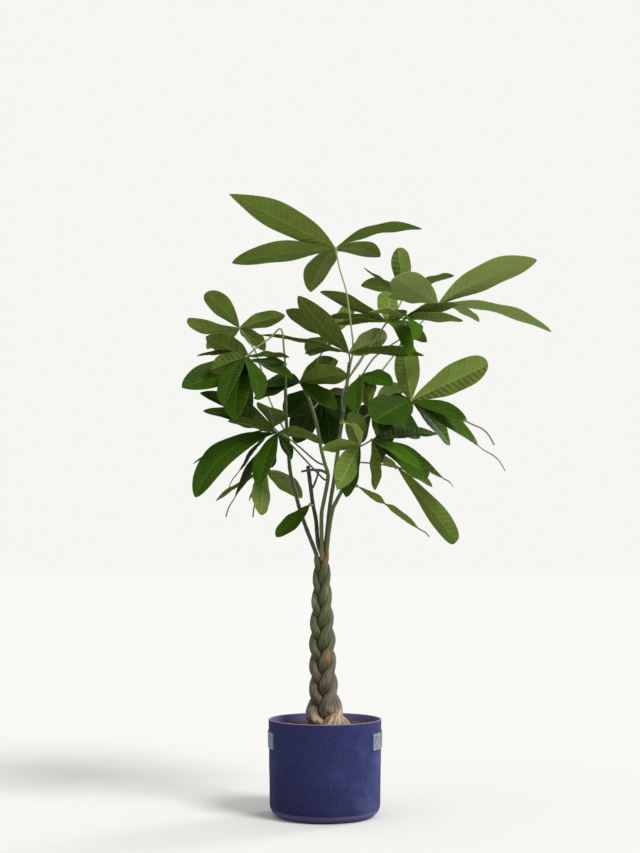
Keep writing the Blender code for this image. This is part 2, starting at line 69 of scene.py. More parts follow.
class Wire:
    """A value or colour on its way through a node tree."""

    def __init__(self, tree, socket):
        self.tree = tree
        self.socket = socket

    def node(self, kind, settings, inputs, out=0):
        """Any node: its settings are made first, then its sockets get values or other wires."""
        made = self.tree.nodes.new(kind)
        for name, value in settings.items():
            setattr(made, name, value)
        for key, value in inputs.items():
            if isinstance(value, Wire):
                self.tree.links.new(value.socket, made.inputs[key])
            else:
                made.inputs[key].default_value = value
        return Wire(self.tree, made.outputs[out])

    def maths(self, operation, *values):
        return self.node("ShaderNodeMath", {"operation": operation}, dict(enumerate(values)))

    def __add__(self, other):
        return self.maths("ADD", self, other)

    def __mul__(self, other):
        return self.maths("MULTIPLY", self, other)

    def __sub__(self, other):
        return self.maths("SUBTRACT", self, other)

    def __rsub__(self, other):
        return self.maths("SUBTRACT", other, self)

    __radd__ = __add__
    __rmul__ = __mul__

    def bigger(self, other):
        return self.maths("MAXIMUM", self, other)

    def step(self, low, high):
        """0 below low and 1 above high, or the other way round, with a soft rise between."""
        rise = {"interpolation_type": "SMOOTHSTEP"}
        if low > high:
            return 1 - self.step(high, low)
        return self.node("ShaderNodeMapRange", rise, {0: self, 1: low, 2: high})

    def scaled(self, *sizes):
        return self.node("ShaderNodeVectorMath", {"operation": "MULTIPLY"}, {0: self, 1: sizes})

    def noise(self, scale, detail=3.0, rough=0.55):
        """A cloudy value from this place, about 0.3 to 0.7."""
        return self.node("ShaderNodeTexNoise", {}, {"Vector": self, "Scale": scale, "Detail": detail,
                                                    "Roughness": rough})

    def cells(self, scale, feature="F1"):
        return self.node("ShaderNodeTexVoronoi", {"feature": feature}, {"Vector": self, "Scale": scale})

    def attribute(self, name, out="Fac"):
        """What the mesh's own attribute of that name holds here."""
        return self.node("ShaderNodeAttribute", {"attribute_name": name}, {}, out=out)

    def part(self, axis):
        return self.node("ShaderNodeSeparateXYZ", {}, {0: self}, out=axis)

    def near(self, point, inner, outer):
        """1 within inner metres of a point, 0 beyond outer."""
        away = self.node("ShaderNodeVectorMath", {"operation": "DISTANCE"}, {0: self, 1: point}, out="Value")
        return away.step(outer, inner)

    def mix(self, low, high):
        """The colour low where this value is 0, and high where it is 1."""
        low, high = (end if isinstance(end, Wire) else (*end, 1) for end in (low, high))
        return self.node("ShaderNodeMix", {"data_type": "RGBA"}, {0: self, 6: low, 7: high}, out=2)

    def times(self, colour):
        """A colour made brighter or darker by this value."""
        grey = self.node("ShaderNodeCombineXYZ", {}, {0: self, 1: self, 2: self})
        return grey.node("ShaderNodeVectorMath", {"operation": "MULTIPLY"}, {0: grey, 1: colour})

    def bump(self, distance, strength=1.0):
        return self.node("ShaderNodeBump", {}, {"Height": self, "Distance": distance, "Strength": strength})


def new_finish(name):
    """A new material, its main shader and a wire on the object's own coordinates."""
    mat = bpy.data.materials.new(name)
    mat.use_nodes = True
    tree = mat.node_tree
    coordinates = tree.nodes.new("ShaderNodeTexCoord")
    return mat, tree.nodes["Principled BSDF"], Wire(tree, coordinates.outputs["Object"])


def feed(shader, **values):
    """Values or wires for a shader's sockets, named with underscores for spaces."""
    for key, value in values.items():
        socket = shader.inputs[key.replace("_", " ")]
        if isinstance(value, Wire):
            value.tree.links.new(value.socket, socket)
        else:
            socket.default_value = value


def skin(bm, rows, wrap=True, material=0):
    """Faces between rows of vertices, each row a ring where wrap is set."""
    count = len(rows[0])
    for low, high in zip(rows, rows[1:]):
        for k in range(count if wrap else count - 1):
            n = (k + 1) % count
            face = bm.faces.new((low[k], low[n], high[n], high[k]))
            face.material_index = material


def cap(bm, row, middle, material=0):
    """Closes a ring of vertices with a fan of faces round a point, and returns that vertex."""
    centre = bm.verts.new(middle)
    for a, b in zip(row, row[1:] + row[:1]):
        bm.faces.new((a, b, centre)).material_index = material
    return centre


def finished(name, bm, mats, node, smooth_angle=50):
    """A piece from a bmesh in millimetres that rides with the plant and stands for a node."""
    bmesh.ops.scale(bm, vec=(MM, MM, MM), verts=bm.verts)
    mesh = bpy.data.meshes.new(name)
    bm.to_mesh(mesh)
    bm.free()
    for mat in mats:
        mesh.materials.append(mat)
    mesh.shade_smooth()
    mesh.set_sharp_from_angle(angle=math.radians(smooth_angle))
    ob = bpy.data.objects.new(name, mesh)
    bpy.context.scene.collection.objects.link(ob)
    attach(ob, "root")
    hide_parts(node)


def felt_profile():
    """The planter's outline from the middle of its floor, up inside, over the rim and down to the base."""
    inner = POT_RADIUS - FELT
    bend = POT_CORNER - FELT
    points = [((inner - bend) * k / FLOOR_ROWS, FELT) for k in range(1, FLOOR_ROWS)]
    for k in range(BEND_ROWS + 1):
        angle = math.pi / 2 * k / BEND_ROWS
        points.append((inner - bend + bend * math.sin(angle), FELT + bend - bend * math.cos(angle)))
    wall = POT_HEIGHT - 1 - POT_CORNER
    points += [(inner, POT_CORNER + wall * k / FLOOR_ROWS) for k in range(1, FLOOR_ROWS + 1)]
    for k in range(1, BEND_ROWS):
        angle = math.pi * k / BEND_ROWS
        points.append((POT_RADIUS - FELT / 2 - FELT / 2 * math.cos(angle), POT_HEIGHT - 1 + math.sin(angle)))
    for k in range(WALL_ROWS + 1):
        points.append((POT_RADIUS, POT_HEIGHT - 1 - wall * k / WALL_ROWS))
    for k in range(1, BASE_ROWS + 1):
        angle = math.pi / 2 * k / BASE_ROWS
        height = POT_CORNER - POT_CORNER * math.sin(angle)
        welt = SEAM_PROUD * math.exp(-((height - SEAM_HEIGHT) / SEAM_HALF) ** 2)
        points.append((POT_RADIUS - POT_CORNER + (POT_CORNER + welt) * math.cos(angle), height - welt / 2))
    points += [((POT_RADIUS - POT_CORNER) * (1 - k / FLOOR_ROWS), 0) for k in range(1, FLOOR_ROWS)]
    return points


def spoke(turn):
    """A level vector of length 1, pointing that share of a full turn round from the right."""
    return Vector((math.cos(2 * math.pi * turn), math.sin(2 * math.pi * turn), 0))


def build_felt(mat):
    """The planter's shell, turned round its axis, with soft unevenness in the felt."""
    bm = bmesh.new()
    rows = []
    for radius, height in felt_profile():
        row = []
        for k in range(POT_SIDES):
            way = spoke(-k / POT_SIDES)
            place = way * 1.4 + Vector((0, 0, height / 90))
            slack = min(1, radius / 90) ** 6
            off = slack * (POT_FLARE * (height / POT_HEIGHT * 2 - 1) + WALL_UNEVEN * noise.noise(place * 2))
            row.append(bm.verts.new(way * (radius + off) + Vector((0, 0, height))))
        rows.append(row)
    skin(bm, rows)
    cap(bm, rows[0][::-1], (0, 0, FELT))
    cap(bm, rows[-1], (0, 0, 0))
    bmesh.ops.recalc_face_normals(bm, faces=bm.faces)
    finished("planter_felt", bm, [mat], "felt_pot")


felt, shader, place = new_finish("navy_felt")
lint = place.noise(1300, 4, 0.7)
tufts = place.scaled(1, 1, 0.6).noise(420, 3, 0.6)
clouds = place.noise(16, 2)
fibre = place.scaled(1, 1, 0.25).noise(2600, 2)
colour = (tufts * 0.6 + lint * 0.4).step(0.36, 0.66).mix((0.0086, 0.0096, 0.034), (0.0205, 0.0245, 0.086))
# Painted highlights: pale glints on the felt's fibres, laid only on the right side where the light falls.
painted_fibre_glints = (lint * 0.7 + clouds * 0.6).step(0.66, 0.80)
lit_side = place.part(0).step(-0.02, 0.09)
colour = (painted_fibre_glints * 0.4 * lit_side).mix(colour, (0.070, 0.082, 0.21))
height = place.part(2)
across = place.scaled(1, 1, 0)
radius = across.node("ShaderNodeVectorMath", {"operation": "LENGTH"}, {0: across}, out="Value")
inside = radius.step((POT_RADIUS - 2.2) * MM, (POT_RADIUS - 3.4) * MM)
colour = (inside * 0.8).mix(colour, (0.095, 0.074, 0.180))
# Painted shade darkens the felt towards its base, and painted light brightens it towards the right.
colour = ((height.step(-0.01, 0.12) * 0.30 + 0.70) * (lit_side * 0.30 + 0.95)).times(colour)
# Painted highlight: the raw cut rim is painted pale, partly its fuzzy cut edge and partly the light caught
# along it.
raw_edge_highlight = height.step((POT_HEIGHT - 1.6) * MM, (POT_HEIGHT - 0.6) * MM)
colour = raw_edge_highlight.mix(colour, (0.13, 0.105, 0.135))
sewn = SEAM_HEIGHT * MM
seam = height.step(sewn - 2.2 * MM, sewn) * height.step(sewn + 2.2 * MM, sewn)
colour = (seam * 0.35).mix(colour, (0.05, 0.060, 0.17))
feed(shader, Base_Color=colour, Roughness=0.92, Normal=(lint + fibre * 0.6 + tufts).bump(0.0006, 0.55),
     Sheen_Weight=0.10, Sheen_Roughness=0.45, Sheen_Tint=(0.30, 0.40, 1.0, 1), Specular_IOR_Level=0.1)
build_felt(felt)


# The two webbing handles
# Each is a 33 mm strap of grey-blue woven webbing, its ends folded under and sewn flat to the planter's
# side with a box and a cross of paler thread.
STRAP_LOW = 137.5
STRAP_HIGH = 171.0
STRAP_THICK = 1.8
STRAP_MIDDLE = {"strap_left": -93.5, "strap_right": 86.5}
STRAP_HALF_TURN = 31.5
STRAP_GAP = 0.3
STRAP_ROWS = 120
STRAP_RIBS = 16
STRAP_EDGE = 0.5
END_THIN = 0.9
END_SLOPE = 1.2
FOLD_THICK = 0.7
FOLD_LENGTH = 30.0
FOLD_SLOPE = 1.5
PATCH = 28.0
STITCH_INSET = 3.0
STITCH_PITCH = 3.2
STITCH_LENGTH = 2.5
STITCH_THICK = 1.3
STITCH_PROUD = 0.75
STITCH_STEPS = 8
WEAVE = 2 * math.pi / 0.0022


def round_pot(run, height, out):
    """A point out from the planter's wall, run millimetres round it from the front."""
    flare = POT_FLARE * (height / POT_HEIGHT * 2 - 1)
    turn = run / POT_RADIUS
    radius = POT_RADIUS + flare + STRAP_GAP + out
    return Vector((radius * math.sin(turn), -radius * math.cos(turn), height))


def strap_ends(name):
    """Where a strap starts and ends, in millimetres round the wall."""
    middle = math.radians(STRAP_MIDDLE[name]) * POT_RADIUS
    half = math.radians(STRAP_HALF_TURN) * POT_RADIUS
    return middle - half, middle + half


def build_strap(name, mat):
    """A strap with soft rounded edges, thicker where its ends are folded under."""
    start, end = strap_ends(name)
    wide = STRAP_HIGH - STRAP_LOW
    bm = bmesh.new()
    run_layer = bm.verts.layers.float.new("run")
    up_layer = bm.verts.layers.float.new("up")
    rows = []
    for i in range(STRAP_ROWS + 1):
        run = start + (end - start) * i / STRAP_ROWS
        inside = min(run - start, end - run)
        fold = FOLD_THICK * min(1, max(0, (FOLD_LENGTH - inside) / FOLD_SLOPE))
        fold -= END_THIN * max(0, 1 - inside / END_SLOPE)
        row = []
        for k in range(STRAP_RIBS + 1):
            across = k / STRAP_RIBS
            edge = STRAP_EDGE * max(0, 1 - min(across, 1 - across) * STRAP_RIBS)
            row.append((across, STRAP_THICK + fold - edge))
        for k in range(STRAP_RIBS + 1):
            row.append((1 - k / STRAP_RIBS, 0))
        ring = []
        for across, out in row:
            vert = bm.verts.new(round_pot(run, STRAP_LOW + wide * across, out))
            vert[run_layer] = (run - start) * MM
            vert[up_layer] = (across - 0.5) * wide * MM
            ring.append(vert)
        rows.append(ring)
    skin(bm, rows)
    bm.faces.new(rows[0][::-1])
    bm.faces.new(rows[-1])
    bmesh.ops.recalc_face_normals(bm, faces=bm.faces)
    finished(name + "_webbing", bm, [mat], name, 60)


def open_tree(name, *sockets):
    """A new geometry tree with those inputs, and a wire on each."""
    tree = bpy.data.node_groups.new(name, "GeometryNodeTree")
    kinds = {"Geometry": "NodeSocketGeometry", "Seed": "NodeSocketInt"}
    for socket in sockets:
        kind = kinds.get(socket, "NodeSocketFloat")
        tree.interface.new_socket(socket, in_out="INPUT", socket_type=kind)
    tree.interface.new_socket("Geometry", in_out="OUTPUT", socket_type="NodeSocketGeometry")
    entry = tree.nodes.new("NodeGroupInput")
    return [Wire(tree, entry.outputs[socket]) for socket in sockets]


def close_tree(made, mat):
    """Ends a tree with its instances made real and given their material."""
    real = made.node("GeometryNodeRealizeInstances", {}, {0: made})
    done = real.node("GeometryNodeSetMaterial", {}, {"Geometry": real, "Material": mat})
    made.tree.links.new(done.socket, made.tree.nodes.new("NodeGroupOutput").inputs[0])
    return made.tree


def thread_tree(mat):
    """A tree that lays short stitches along a mesh's edges."""
    path, pitch, length, thick = open_tree("sewn_thread", "Geometry", "Pitch", "Length", "Thickness")
    curve = path.node("GeometryNodeMeshToCurve", {}, {0: path})
    marks = curve.node("GeometryNodeResampleCurve", {"mode": "LENGTH"}, {"Curve": curve, "Length": pitch})
    bead = curve.node("GeometryNodeMeshIcoSphere", {}, {"Radius": 0.5, "Subdivisions": 2})
    size = curve.node("ShaderNodeCombineXYZ", {}, {0: thick, 1: thick, 2: length})
    stitch = curve.node("GeometryNodeTransform", {}, {"Geometry": bead, "Scale": size})
    along = curve.node("GeometryNodeInputTangent", {}, {})
    lie = curve.node("FunctionNodeAlignRotationToVector", {"axis": "Z"}, {"Vector": along})
    laid = {"Points": marks, "Instance": stitch, "Rotation": lie}
    return close_tree(curve.node("GeometryNodeInstanceOnPoints", {}, laid), mat)


def grown(name, bm, tree, inputs):
    """A piece that a geometry tree makes from a base mesh in millimetres, turned into a plain mesh."""
    bmesh.ops.scale(bm, vec=(MM, MM, MM), verts=bm.verts)
    base = bpy.data.meshes.new(name)
    bm.to_mesh(base)
    bm.free()
    ob = bpy.data.objects.new(name, base)
    bpy.context.scene.collection.objects.link(ob)
    maker = ob.modifiers.new(name, "NODES")
    maker.node_group = tree
    for item in tree.interface.items_tree:
        if item.in_out == "INPUT" and item.name in inputs:
            maker[item.identifier] = inputs[item.name]
    bpy.context.view_layer.update()
    plain = bpy.data.meshes.new_from_object(ob.evaluated_get(bpy.context.evaluated_depsgraph_get()))
    ob.modifiers.clear()
    ob.data = plain
    plain.shade_smooth()
    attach(ob, "root")


def build_stitches(name, tree):
    """A box with a cross, sewn through each end of a strap."""
    start, end = strap_ends(name)
    bm = bmesh.new()
    low, high = STRAP_LOW + STITCH_INSET, STRAP_HIGH - STITCH_INSET
    for left in (start + STITCH_INSET, end - PATCH):
        right = left + PATCH - 2 * STITCH_INSET
        lines = (((left, low), (right, low)), ((right, low), (right, high)), ((right, high), (left, high)),
                 ((left, high), (left, low)), ((left, low), (right, high)), ((left, high), (right, low)))
        for (run_a, z_a), (run_b, z_b) in lines:
            last = None
            for k in range(STITCH_STEPS + 1):
                share = k / STITCH_STEPS
                run = run_a + (run_b - run_a) * share
                place = round_pot(run, z_a + (z_b - z_a) * share, STRAP_THICK + STITCH_PROUD)
                vert = bm.verts.new(place)
                if last:
                    bm.edges.new((last, vert))
                last = vert
    sizes = {"Pitch": STITCH_PITCH * MM, "Length": STITCH_LENGTH * MM, "Thickness": STITCH_THICK * MM}
    grown(name + "_stitches", bm, tree, sizes)


webbing, shader, place = new_finish("woven_webbing")
run = place.attribute("run")
up = place.attribute("up")
twill = up.maths("SINE", (run + up.maths("ABSOLUTE", up) * 0.8) * WEAVE)
picks = up.maths("SINE", up * (WEAVE * 0.9))
weave = twill * 0.6 + picks * 0.4
yarn = place.noise(900, 2)
colour = (weave * 0.35 + yarn).step(0.1, 0.95).mix((0.015, 0.024, 0.044), (0.062, 0.085, 0.125))
feed(shader, Base_Color=colour, Roughness=0.75, Normal=(weave + yarn * 0.5).bump(0.0004, 0.7),
     Sheen_Weight=0.2, Specular_IOR_Level=0.3)
thread, shader, place = new_finish("pale_thread")
strands = place.noise(1500, 2).step(0.35, 0.65)
feed(shader, Base_Color=strands.mix((0.22, 0.30, 0.41), (0.38, 0.47, 0.58)), Roughness=0.7,
     Normal=place.noise(2500, 2).bump(0.0002, 0.5))
sewing = thread_tree(thread)
for name in STRAP_MIDDLE:
    build_strap(name, webbing)
    build_stitches(name, sewing)


# The soil
# Dark, reddish-brown potting mix that fills the planter to 15 mm below its rim, heaped a little round the
# trunk, with crumbs and bark chips lying loose on it.
SOIL_TOP = 179.0
SOIL_RADIUS = POT_RADIUS - FELT - 0.3
SOIL_RINGS = 44
SOIL_SIDES = 120
HEAP = Vector((-34, -8, 0))
CRUMBS_PER_M2 = 90000
OPEN_RINGS = 12
OPEN_SIDES = 48
WALL_CLEAR = 3.0


def soil_height(x, y):
    """The soil's surface, lumpy and heaped on the trunk's left side."""
    place = Vector((x, y, 0))
    lumps = 1.6 * noise.noise(place / 16) + 0.9 * noise.noise(place / 6) + 0.5 * noise.noise(place / 2.6)
    heap = 4.5 * math.exp(-((place - HEAP).length / 17) ** 2)
    trunk = 1.8 * math.exp(-(place.length / 50) ** 4)
    return SOIL_TOP - 0.5 + lumps + heap + trunk


def soil_ring(bm, radius, sides, height=None):
    """A ring of vertices on the soil's surface, or at a height inside it."""
    row = []
    for k in range(sides):
        x, y, _ = spoke(k / sides) * radius
        row.append(bm.verts.new((x, y, soil_height(x, y) if height is None else height)))
    return row


def build_soil(mat):
    """A closed body of soil with a lumpy top."""
    bm = bmesh.new()
    rings = range(SOIL_RINGS, 0, -1)
    rows = [soil_ring(bm, SOIL_RADIUS * (ring / SOIL_RINGS) ** 0.8, SOIL_SIDES) for ring in rings]
    for radius, height in ((SOIL_RADIUS, 120), (SOIL_RADIUS, POT_CORNER), (SOIL_RADIUS - 8, FELT + 6),
                           (POT_RADIUS - POT_CORNER, FELT + 0.3)):
        rows.insert(0, soil_ring(bm, radius, SOIL_SIDES, height))
    skin(bm, rows)
    cap(bm, rows[0], (0, 0, FELT + 0.3))
    cap(bm, rows[-1], (0, 0, soil_height(0, 0)))
    bmesh.ops.recalc_face_normals(bm, faces=bm.faces)
    finished("soil_bed", bm, [mat], "soil", 80)


def crumb_tree(mat):
    """A tree that strews small rough crumbs over a surface."""
    ground, density, small, large, length, seed = open_tree(
        "strewn_crumbs", "Geometry", "Density", "Smallest", "Largest", "Length", "Seed")
    strewing = {"Mesh": ground, "Density": density, "Seed": seed}
    spots = ground.node("GeometryNodeDistributePointsOnFaces", {}, strewing)
    bead = ground.node("GeometryNodeMeshIcoSphere", {}, {"Radius": 0.5, "Subdivisions": 1})
    size = ground.node("ShaderNodeCombineXYZ", {}, {0: length, 1: 1.0, 2: 0.75})
    bit = ground.node("GeometryNodeTransform", {}, {"Geometry": bead, "Scale": size})
    tumble = {0: (0, 0, 0), 1: (0.7, 0.7, 6.28), "Seed": seed}
    turn = ground.node("FunctionNodeRandomValue", {"data_type": "FLOAT_VECTOR"}, tumble)
    sizes = {2: small, 3: large, "Seed": seed}
    grow = ground.node("FunctionNodeRandomValue", {"data_type": "FLOAT"}, sizes, out=1)
    strewn = {"Points": spots, "Instance": bit, "Rotation": turn, "Scale": grow}
    return close_tree(ground.node("GeometryNodeInstanceOnPoints", {}, strewn), mat)


def open_ground():
    """The soil's top face alone, clear of the planter's wall."""
    bm = bmesh.new()
    radius = SOIL_RADIUS - WALL_CLEAR
    rings = range(1, OPEN_RINGS + 1)
    skin(bm, [soil_ring(bm, radius * ring / OPEN_RINGS, OPEN_SIDES) for ring in rings])
    bmesh.ops.recalc_face_normals(bm, faces=bm.faces)
    return bm


soil, shader, place = new_finish("potting_mix")
clod = place.noise(260, 4, 0.7)
grain = place.cells(900)
colour = (clod + grain * 0.25).step(0.42, 0.85).mix((0.010, 0.0048, 0.003), (0.060, 0.027, 0.016))
feed(shader, Base_Color=colour, Roughness=0.95, Normal=(clod + grain * 0.4).bump(0.0015, 0.8),
     Specular_IOR_Level=0.25)
chips, shader, place = new_finish("bark_chips")
chip_tone = place.noise(170, 1).step(0.38, 0.66)
feed(shader, Base_Color=chip_tone.mix((0.019, 0.009, 0.005), (0.11, 0.050, 0.027)), Roughness=0.9,
     Normal=place.noise(1400, 3).bump(0.0005, 0.8))
build_soil(soil)
crumbs = crumb_tree(chips)
for name, density, small, large, length, seed in (("soil_crumbs", CRUMBS_PER_M2, 1.3, 4.2, 1.3, 3),
                                                  ("soil_fibres", CRUMBS_PER_M2 / 9, 1.2, 2.2, 6.0, 8)):
    strewing = {"Density": density, "Smallest": small * MM, "Largest": large * MM, "Length": length,
                "Seed": seed}
    grown(name, open_ground(), crumbs, strewing)


# The plaited stems and their shoots
# Five stems plaited tightly while young have grown against each other, flat where they press. Their feet
# are swollen, straw-coloured and fibrous, their middles grey-brown and their tops green, with orange scars
# where side shoots were cut. Round green shoots with leaf scars grow from the top of each.
EYE = Vector((-10, -2800, 502))
PLAIT_TOP = 519.0
PLAIT_TURN = 220.0
PLAIT_START = 239.0
PLAIT_FACING = math.radians(-25)
PLAIT_WIDE = 0.58
PLAIT_DEEP = 0.50
PLAIT_STEM = 0.43
PLAIT_HALF = ((172, 47.5), (179.4, 46.0), (190, 43.0), (203, 38.0), (222, 32.5), (250, 28.0), (280, 26.0),
              (350, 25.0), (400, 22.0), (440, 19.0), (480, 17.0), (519, 14.5))
PLAIT_MIDDLE = ((172, 2.5), (179.4, 2.5), (230, -1.5), (300, -4.5), (400, -6.0), (519, -6.5))
PLAIT_FOOT = 173.0
FOOT_HEIGHT = 60.0
STEM_CLEAR = 0.1
CROWN_HEIGHT = 5.0
CROWN_SHARE = 0.55
STEM_SIDES = 40
STEM_RINGS = 190
SIDE_ON = 0.02
GRAIN = 0.010
GRAIN_LENGTH = 70.0
PRESSING = 14
STEMS = {"stem_right": 0, "stem_inner": 72, "stem_left": 144, "stem_back": 216, "stem_front": 288}
STEM_TOPS = {"stem_inner": 506.0, "stem_back": 506.0}
STRAW = {"stem_right": 0.15}
SHOOT_SIDES = 18
SHOOT_STEPS = 8
NODE_SPACING = 26.0
NODE_HALF = 2.2
NODE_SWELL = 0.10

# Each shoot: its stem, its radius at both ends, how bright its green is, and its way up
SHOOTS = {
    "left": ("stem_left", 4.4, 3.4, 0.33, (
        (-16.4, 511, -3), (-17.4, 522, -1), (-25, 543, 7), (-36, 571, 6), (-50, 611, 4), (-58, 641, 0),
        (-66, 671, -4), (-71, 700, -8), (-74, 750, -14), (-78, 800, -18), (-79, 852, -18))),
    "cut": ("stem_front", 4.2, 4.0, 0.17, (
        (-6.4, 511, -6.6), (-7, 523, -8), (-14, 544, -1), (-18, 591, 4), (-24, 621, 3), (-28, 651, 0),
        (-34, 699, -4))),
    "middle": ("stem_front", 4.4, 3.2, 0.7, (
        (-6.2, 511, -6.8), (-5.8, 522, -9), (-6.5, 540, -9), (-7, 600, -10), (-3, 625, -9), (4, 661, -7),
        (6, 683, -5), (0, 703, 0), (-8, 735, 6), (-16, 780, 12), (-28, 820, 18), (-40, 850, 22))),
    "right": ("stem_right", 4.4, 3.2, 0.8, (
        (3.6, 511, -3), (3.6, 522, -2), (4, 535, -4), (8, 571, -6), (15, 611, -7), (24, 631, -6),
        (34, 651, -3), (41, 675, 1), (48, 715, 4), (56, 760, 0), (63, 800, -8), (66, 832, -12))),
    "short twig": ("stem_front", 2.4, 1.8, 0.5, ((-25, 655, 0), (-19, 668, -2), (-12, 690, -4))),
    "dry twig": ("stem_front", 3.0, 2.2, 0.35, (
        (5, 684, -5), (-8, 690, -12), (-28, 691, -18), (-47, 688, -22))),
    "leader": ("stem_right", 4.4, 3.6, 0.75, (
        (3.2, 511, -2.6), (2.6, 522, 2), (1, 535, 7), (5, 575, 10), (10, 621, 14), (18, 671, 18),
        (26, 731, 20), (34, 791, 18), (41, 840, 12), (46, 880, 5), (49, 906, 0))),
}


def seen(x, z, y):
    """The point at depth y that is seen at (x, z) on the plane through the planter's axis."""
    return EYE + (Vector((x, 0, z)) - EYE) * (y - EYE.y) / -EYE.y


def level(table, height):
    """The value at a height, read straight between a table's rows."""
    for (low, a), (high, b) in zip(table, table[1:]):
        if height <= high:
            return a + (b - a) * max(0.0, (height - low) / (high - low))
    return table[-1][1]


def plait_place(phase, height):
    """A stem's middle and full radius in the plait. phase is in degrees."""
    half = level(PLAIT_HALF, height)
    turn = math.radians(phase + 360 * (height - PLAIT_START) / PLAIT_TURN)
    across = PLAIT_WIDE * half * math.sin(turn)
    deep = -PLAIT_DEEP * half * math.sin(2 * turn)
    x = level(PLAIT_MIDDLE, height) + across * math.cos(PLAIT_FACING) - deep * math.sin(PLAIT_FACING)
    y = across * math.sin(PLAIT_FACING) + deep * math.cos(PLAIT_FACING)
    return Vector((x, y, height)), PLAIT_STEM * half


def stem_ring(phase, others, height, shrink):
    """A stem's outline at a height: round, pressed softly flat against the others, and fibrous."""
    middle, radius = plait_place(phase, height)
    pressed = [plait_place(other, height)[0] - middle for other in others]
    ring = []
    for k in range(STEM_SIDES):
        way = spoke(k / STEM_SIDES)
        limits = [radius ** -PRESSING]
        for to_other in pressed:
            facing = way.dot(to_other.normalized())
            if facing > SIDE_ON:
                limits.append(((to_other.length / 2 - STEM_CLEAR) / facing) ** -PRESSING)
        reach = sum(limits) ** (-1 / PRESSING)
        foot = max(0.0, 1 - (height - PLAIT_FOOT) / FOOT_HEIGHT)
        fibre = noise.noise(way * 4 + Vector((0, 0, height / 34 + phase)))
        knots = noise.noise(way * 1.5 + Vector((0, 0, height / 11 + phase)))
        reach += fibre * (0.35 + 0.7 * foot) + knots * (0.3 + 0.5 * foot)
        ring.append(middle + way * reach * shrink)
    return ring


def smooth_way(points, steps):
    """A smooth line through the points, with steps pieces between each two."""
    ends = [points[0] * 2 - points[1]] + list(points) + [points[-1] * 2 - points[-2]]
    line = []
    for a, b, c, d in zip(ends, ends[1:], ends[2:], ends[3:]):
        for k in range(steps):
            t = k / steps
            line.append(0.5 * (2 * b + (c - a) * t + (2 * a - 5 * b + 4 * c - d) * t * t
                               + (3 * b - a - 3 * c + d) * t ** 3))
    line.append(points[-1].copy())
    return line


def tube(bm, line, radii, sides, marks, material=0):
    """A round stem through the points, with a rounded end. marks gives its vertices' attribute values."""
    across = Vector((1, 0.2, 0))
    rows = []
    for k, (point, radius) in enumerate(zip(line, radii)):
        ahead = (line[min(k + 1, len(line) - 1)] - line[max(k - 1, 0)]).normalized()
        across = (across - ahead * across.dot(ahead)).normalized()
        other = ahead.cross(across)
        row = []
        for n in range(sides):
            way = spoke(n / sides) * radius
            vert = bm.verts.new(point + across * way.x + other * way.y)
            for layer, value in marks.items():
                vert[layer] = value
            row.append(vert)
        rows.append(row)
    skin(bm, rows, material=material)
    for row, end in ((rows[0][::-1], line[0]), (rows[-1], line[-1])):
        tip = cap(bm, row, end + (end - line[len(line) // 2]).normalized() * 0.3 * radii[-1], material)
        for layer, value in marks.items():
            tip[layer] = value


def shoot_radii(line, start, end):
    """A shoot's radius along its line: thinning evenly, with a swollen ring at each leaf scar."""
    radii = []
    gone = 0.0
    for k, point in enumerate(line):
        gone += (point - line[k - 1]).length if k else 0
        scar = math.exp(-(((gone % NODE_SPACING) - NODE_SPACING / 2) / NODE_HALF) ** 2)
        radii.append((start + (end - start) * k / (len(line) - 1)) * (1 + NODE_SWELL * scar))
    return radii


def build_stem(name, mat):
    """A plaited stem from just under the soil to its rounded top, with its shoots."""
    phase = STEMS[name]
    others = [p for other, p in STEMS.items() if other != name]
    bm = bmesh.new()
    young = bm.verts.layers.float.new("young")
    bright = bm.verts.layers.float.new("bright")
    straw = bm.verts.layers.float.new("straw")
    grain = bm.verts.layers.float_vector.new("grain")
    rows = []
    top = STEM_TOPS.get(name, PLAIT_TOP)
    for k in range(STEM_RINGS + 1):
        height = PLAIT_FOOT + (top - PLAIT_FOOT) * k / STEM_RINGS
        left = min(1.0, (top - height) / CROWN_HEIGHT)
        shrink = CROWN_SHARE + (1 - CROWN_SHARE) * math.sqrt(1 - (1 - left) ** 2)
        row = [bm.verts.new(point) for point in stem_ring(phase, others, height, shrink)]
        for n, vert in enumerate(row):
            vert[straw] = STRAW.get(name, 1.0)
            vert[grain] = (spoke(n / STEM_SIDES) + Vector((0, 0, height / GRAIN_LENGTH + phase))) * GRAIN
        rows.append(row)
    skin(bm, rows)
    bm.faces.new(rows[0][::-1])
    bm.faces.new(rows[-1])
    for home, start, end, green, way in SHOOTS.values():
        if home == name:
            line = smooth_way([seen(*place) for place in way], SHOOT_STEPS)
            tube(bm, line, shoot_radii(line, start, end), SHOOT_SIDES, {young: 1.0, bright: green})
    finished(name + "_bark", bm, [mat], name, 70)


bark, shader, place = new_finish("plaited_bark")
height = place.part(2)
young = place.attribute("young")
grain = place.attribute("grain", "Vector")
fibres = (1 - young) * grain.noise(420, 4, 0.65) + young * place.scaled(1, 1, 0.12).noise(420, 4, 0.65)
patches = place.scaled(1, 1, 0.5).noise(55, 3, 0.6)
bright = place.attribute("bright")
straw = place.attribute("straw")
grey = fibres.step(0.35, 0.68).mix((0.026, 0.018, 0.012), (0.092, 0.069, 0.047))
green = fibres.step(0.33, 0.68).mix((0.014, 0.020, 0.0048), (0.058, 0.073, 0.0185))
greened = (height + patches * 0.09).step(0.315, 0.41)
colour = greened.mix(grey, green)
dry = fibres.step(0.36, 0.62).mix((0.115, 0.080, 0.050), (0.30, 0.215, 0.135))
across = place.part(0)
swollen = (height - across * 0.25 + patches * 0.06).step(0.260, 0.226) * straw * across.step(-0.034, -0.020)
swollen = swollen * (fibres.step(0.40, 0.60) * 0.5 + 0.5)
colour = swollen.mix(colour, dry)
SCAR_SHAPE = Vector((1.3, 1, 0.6))
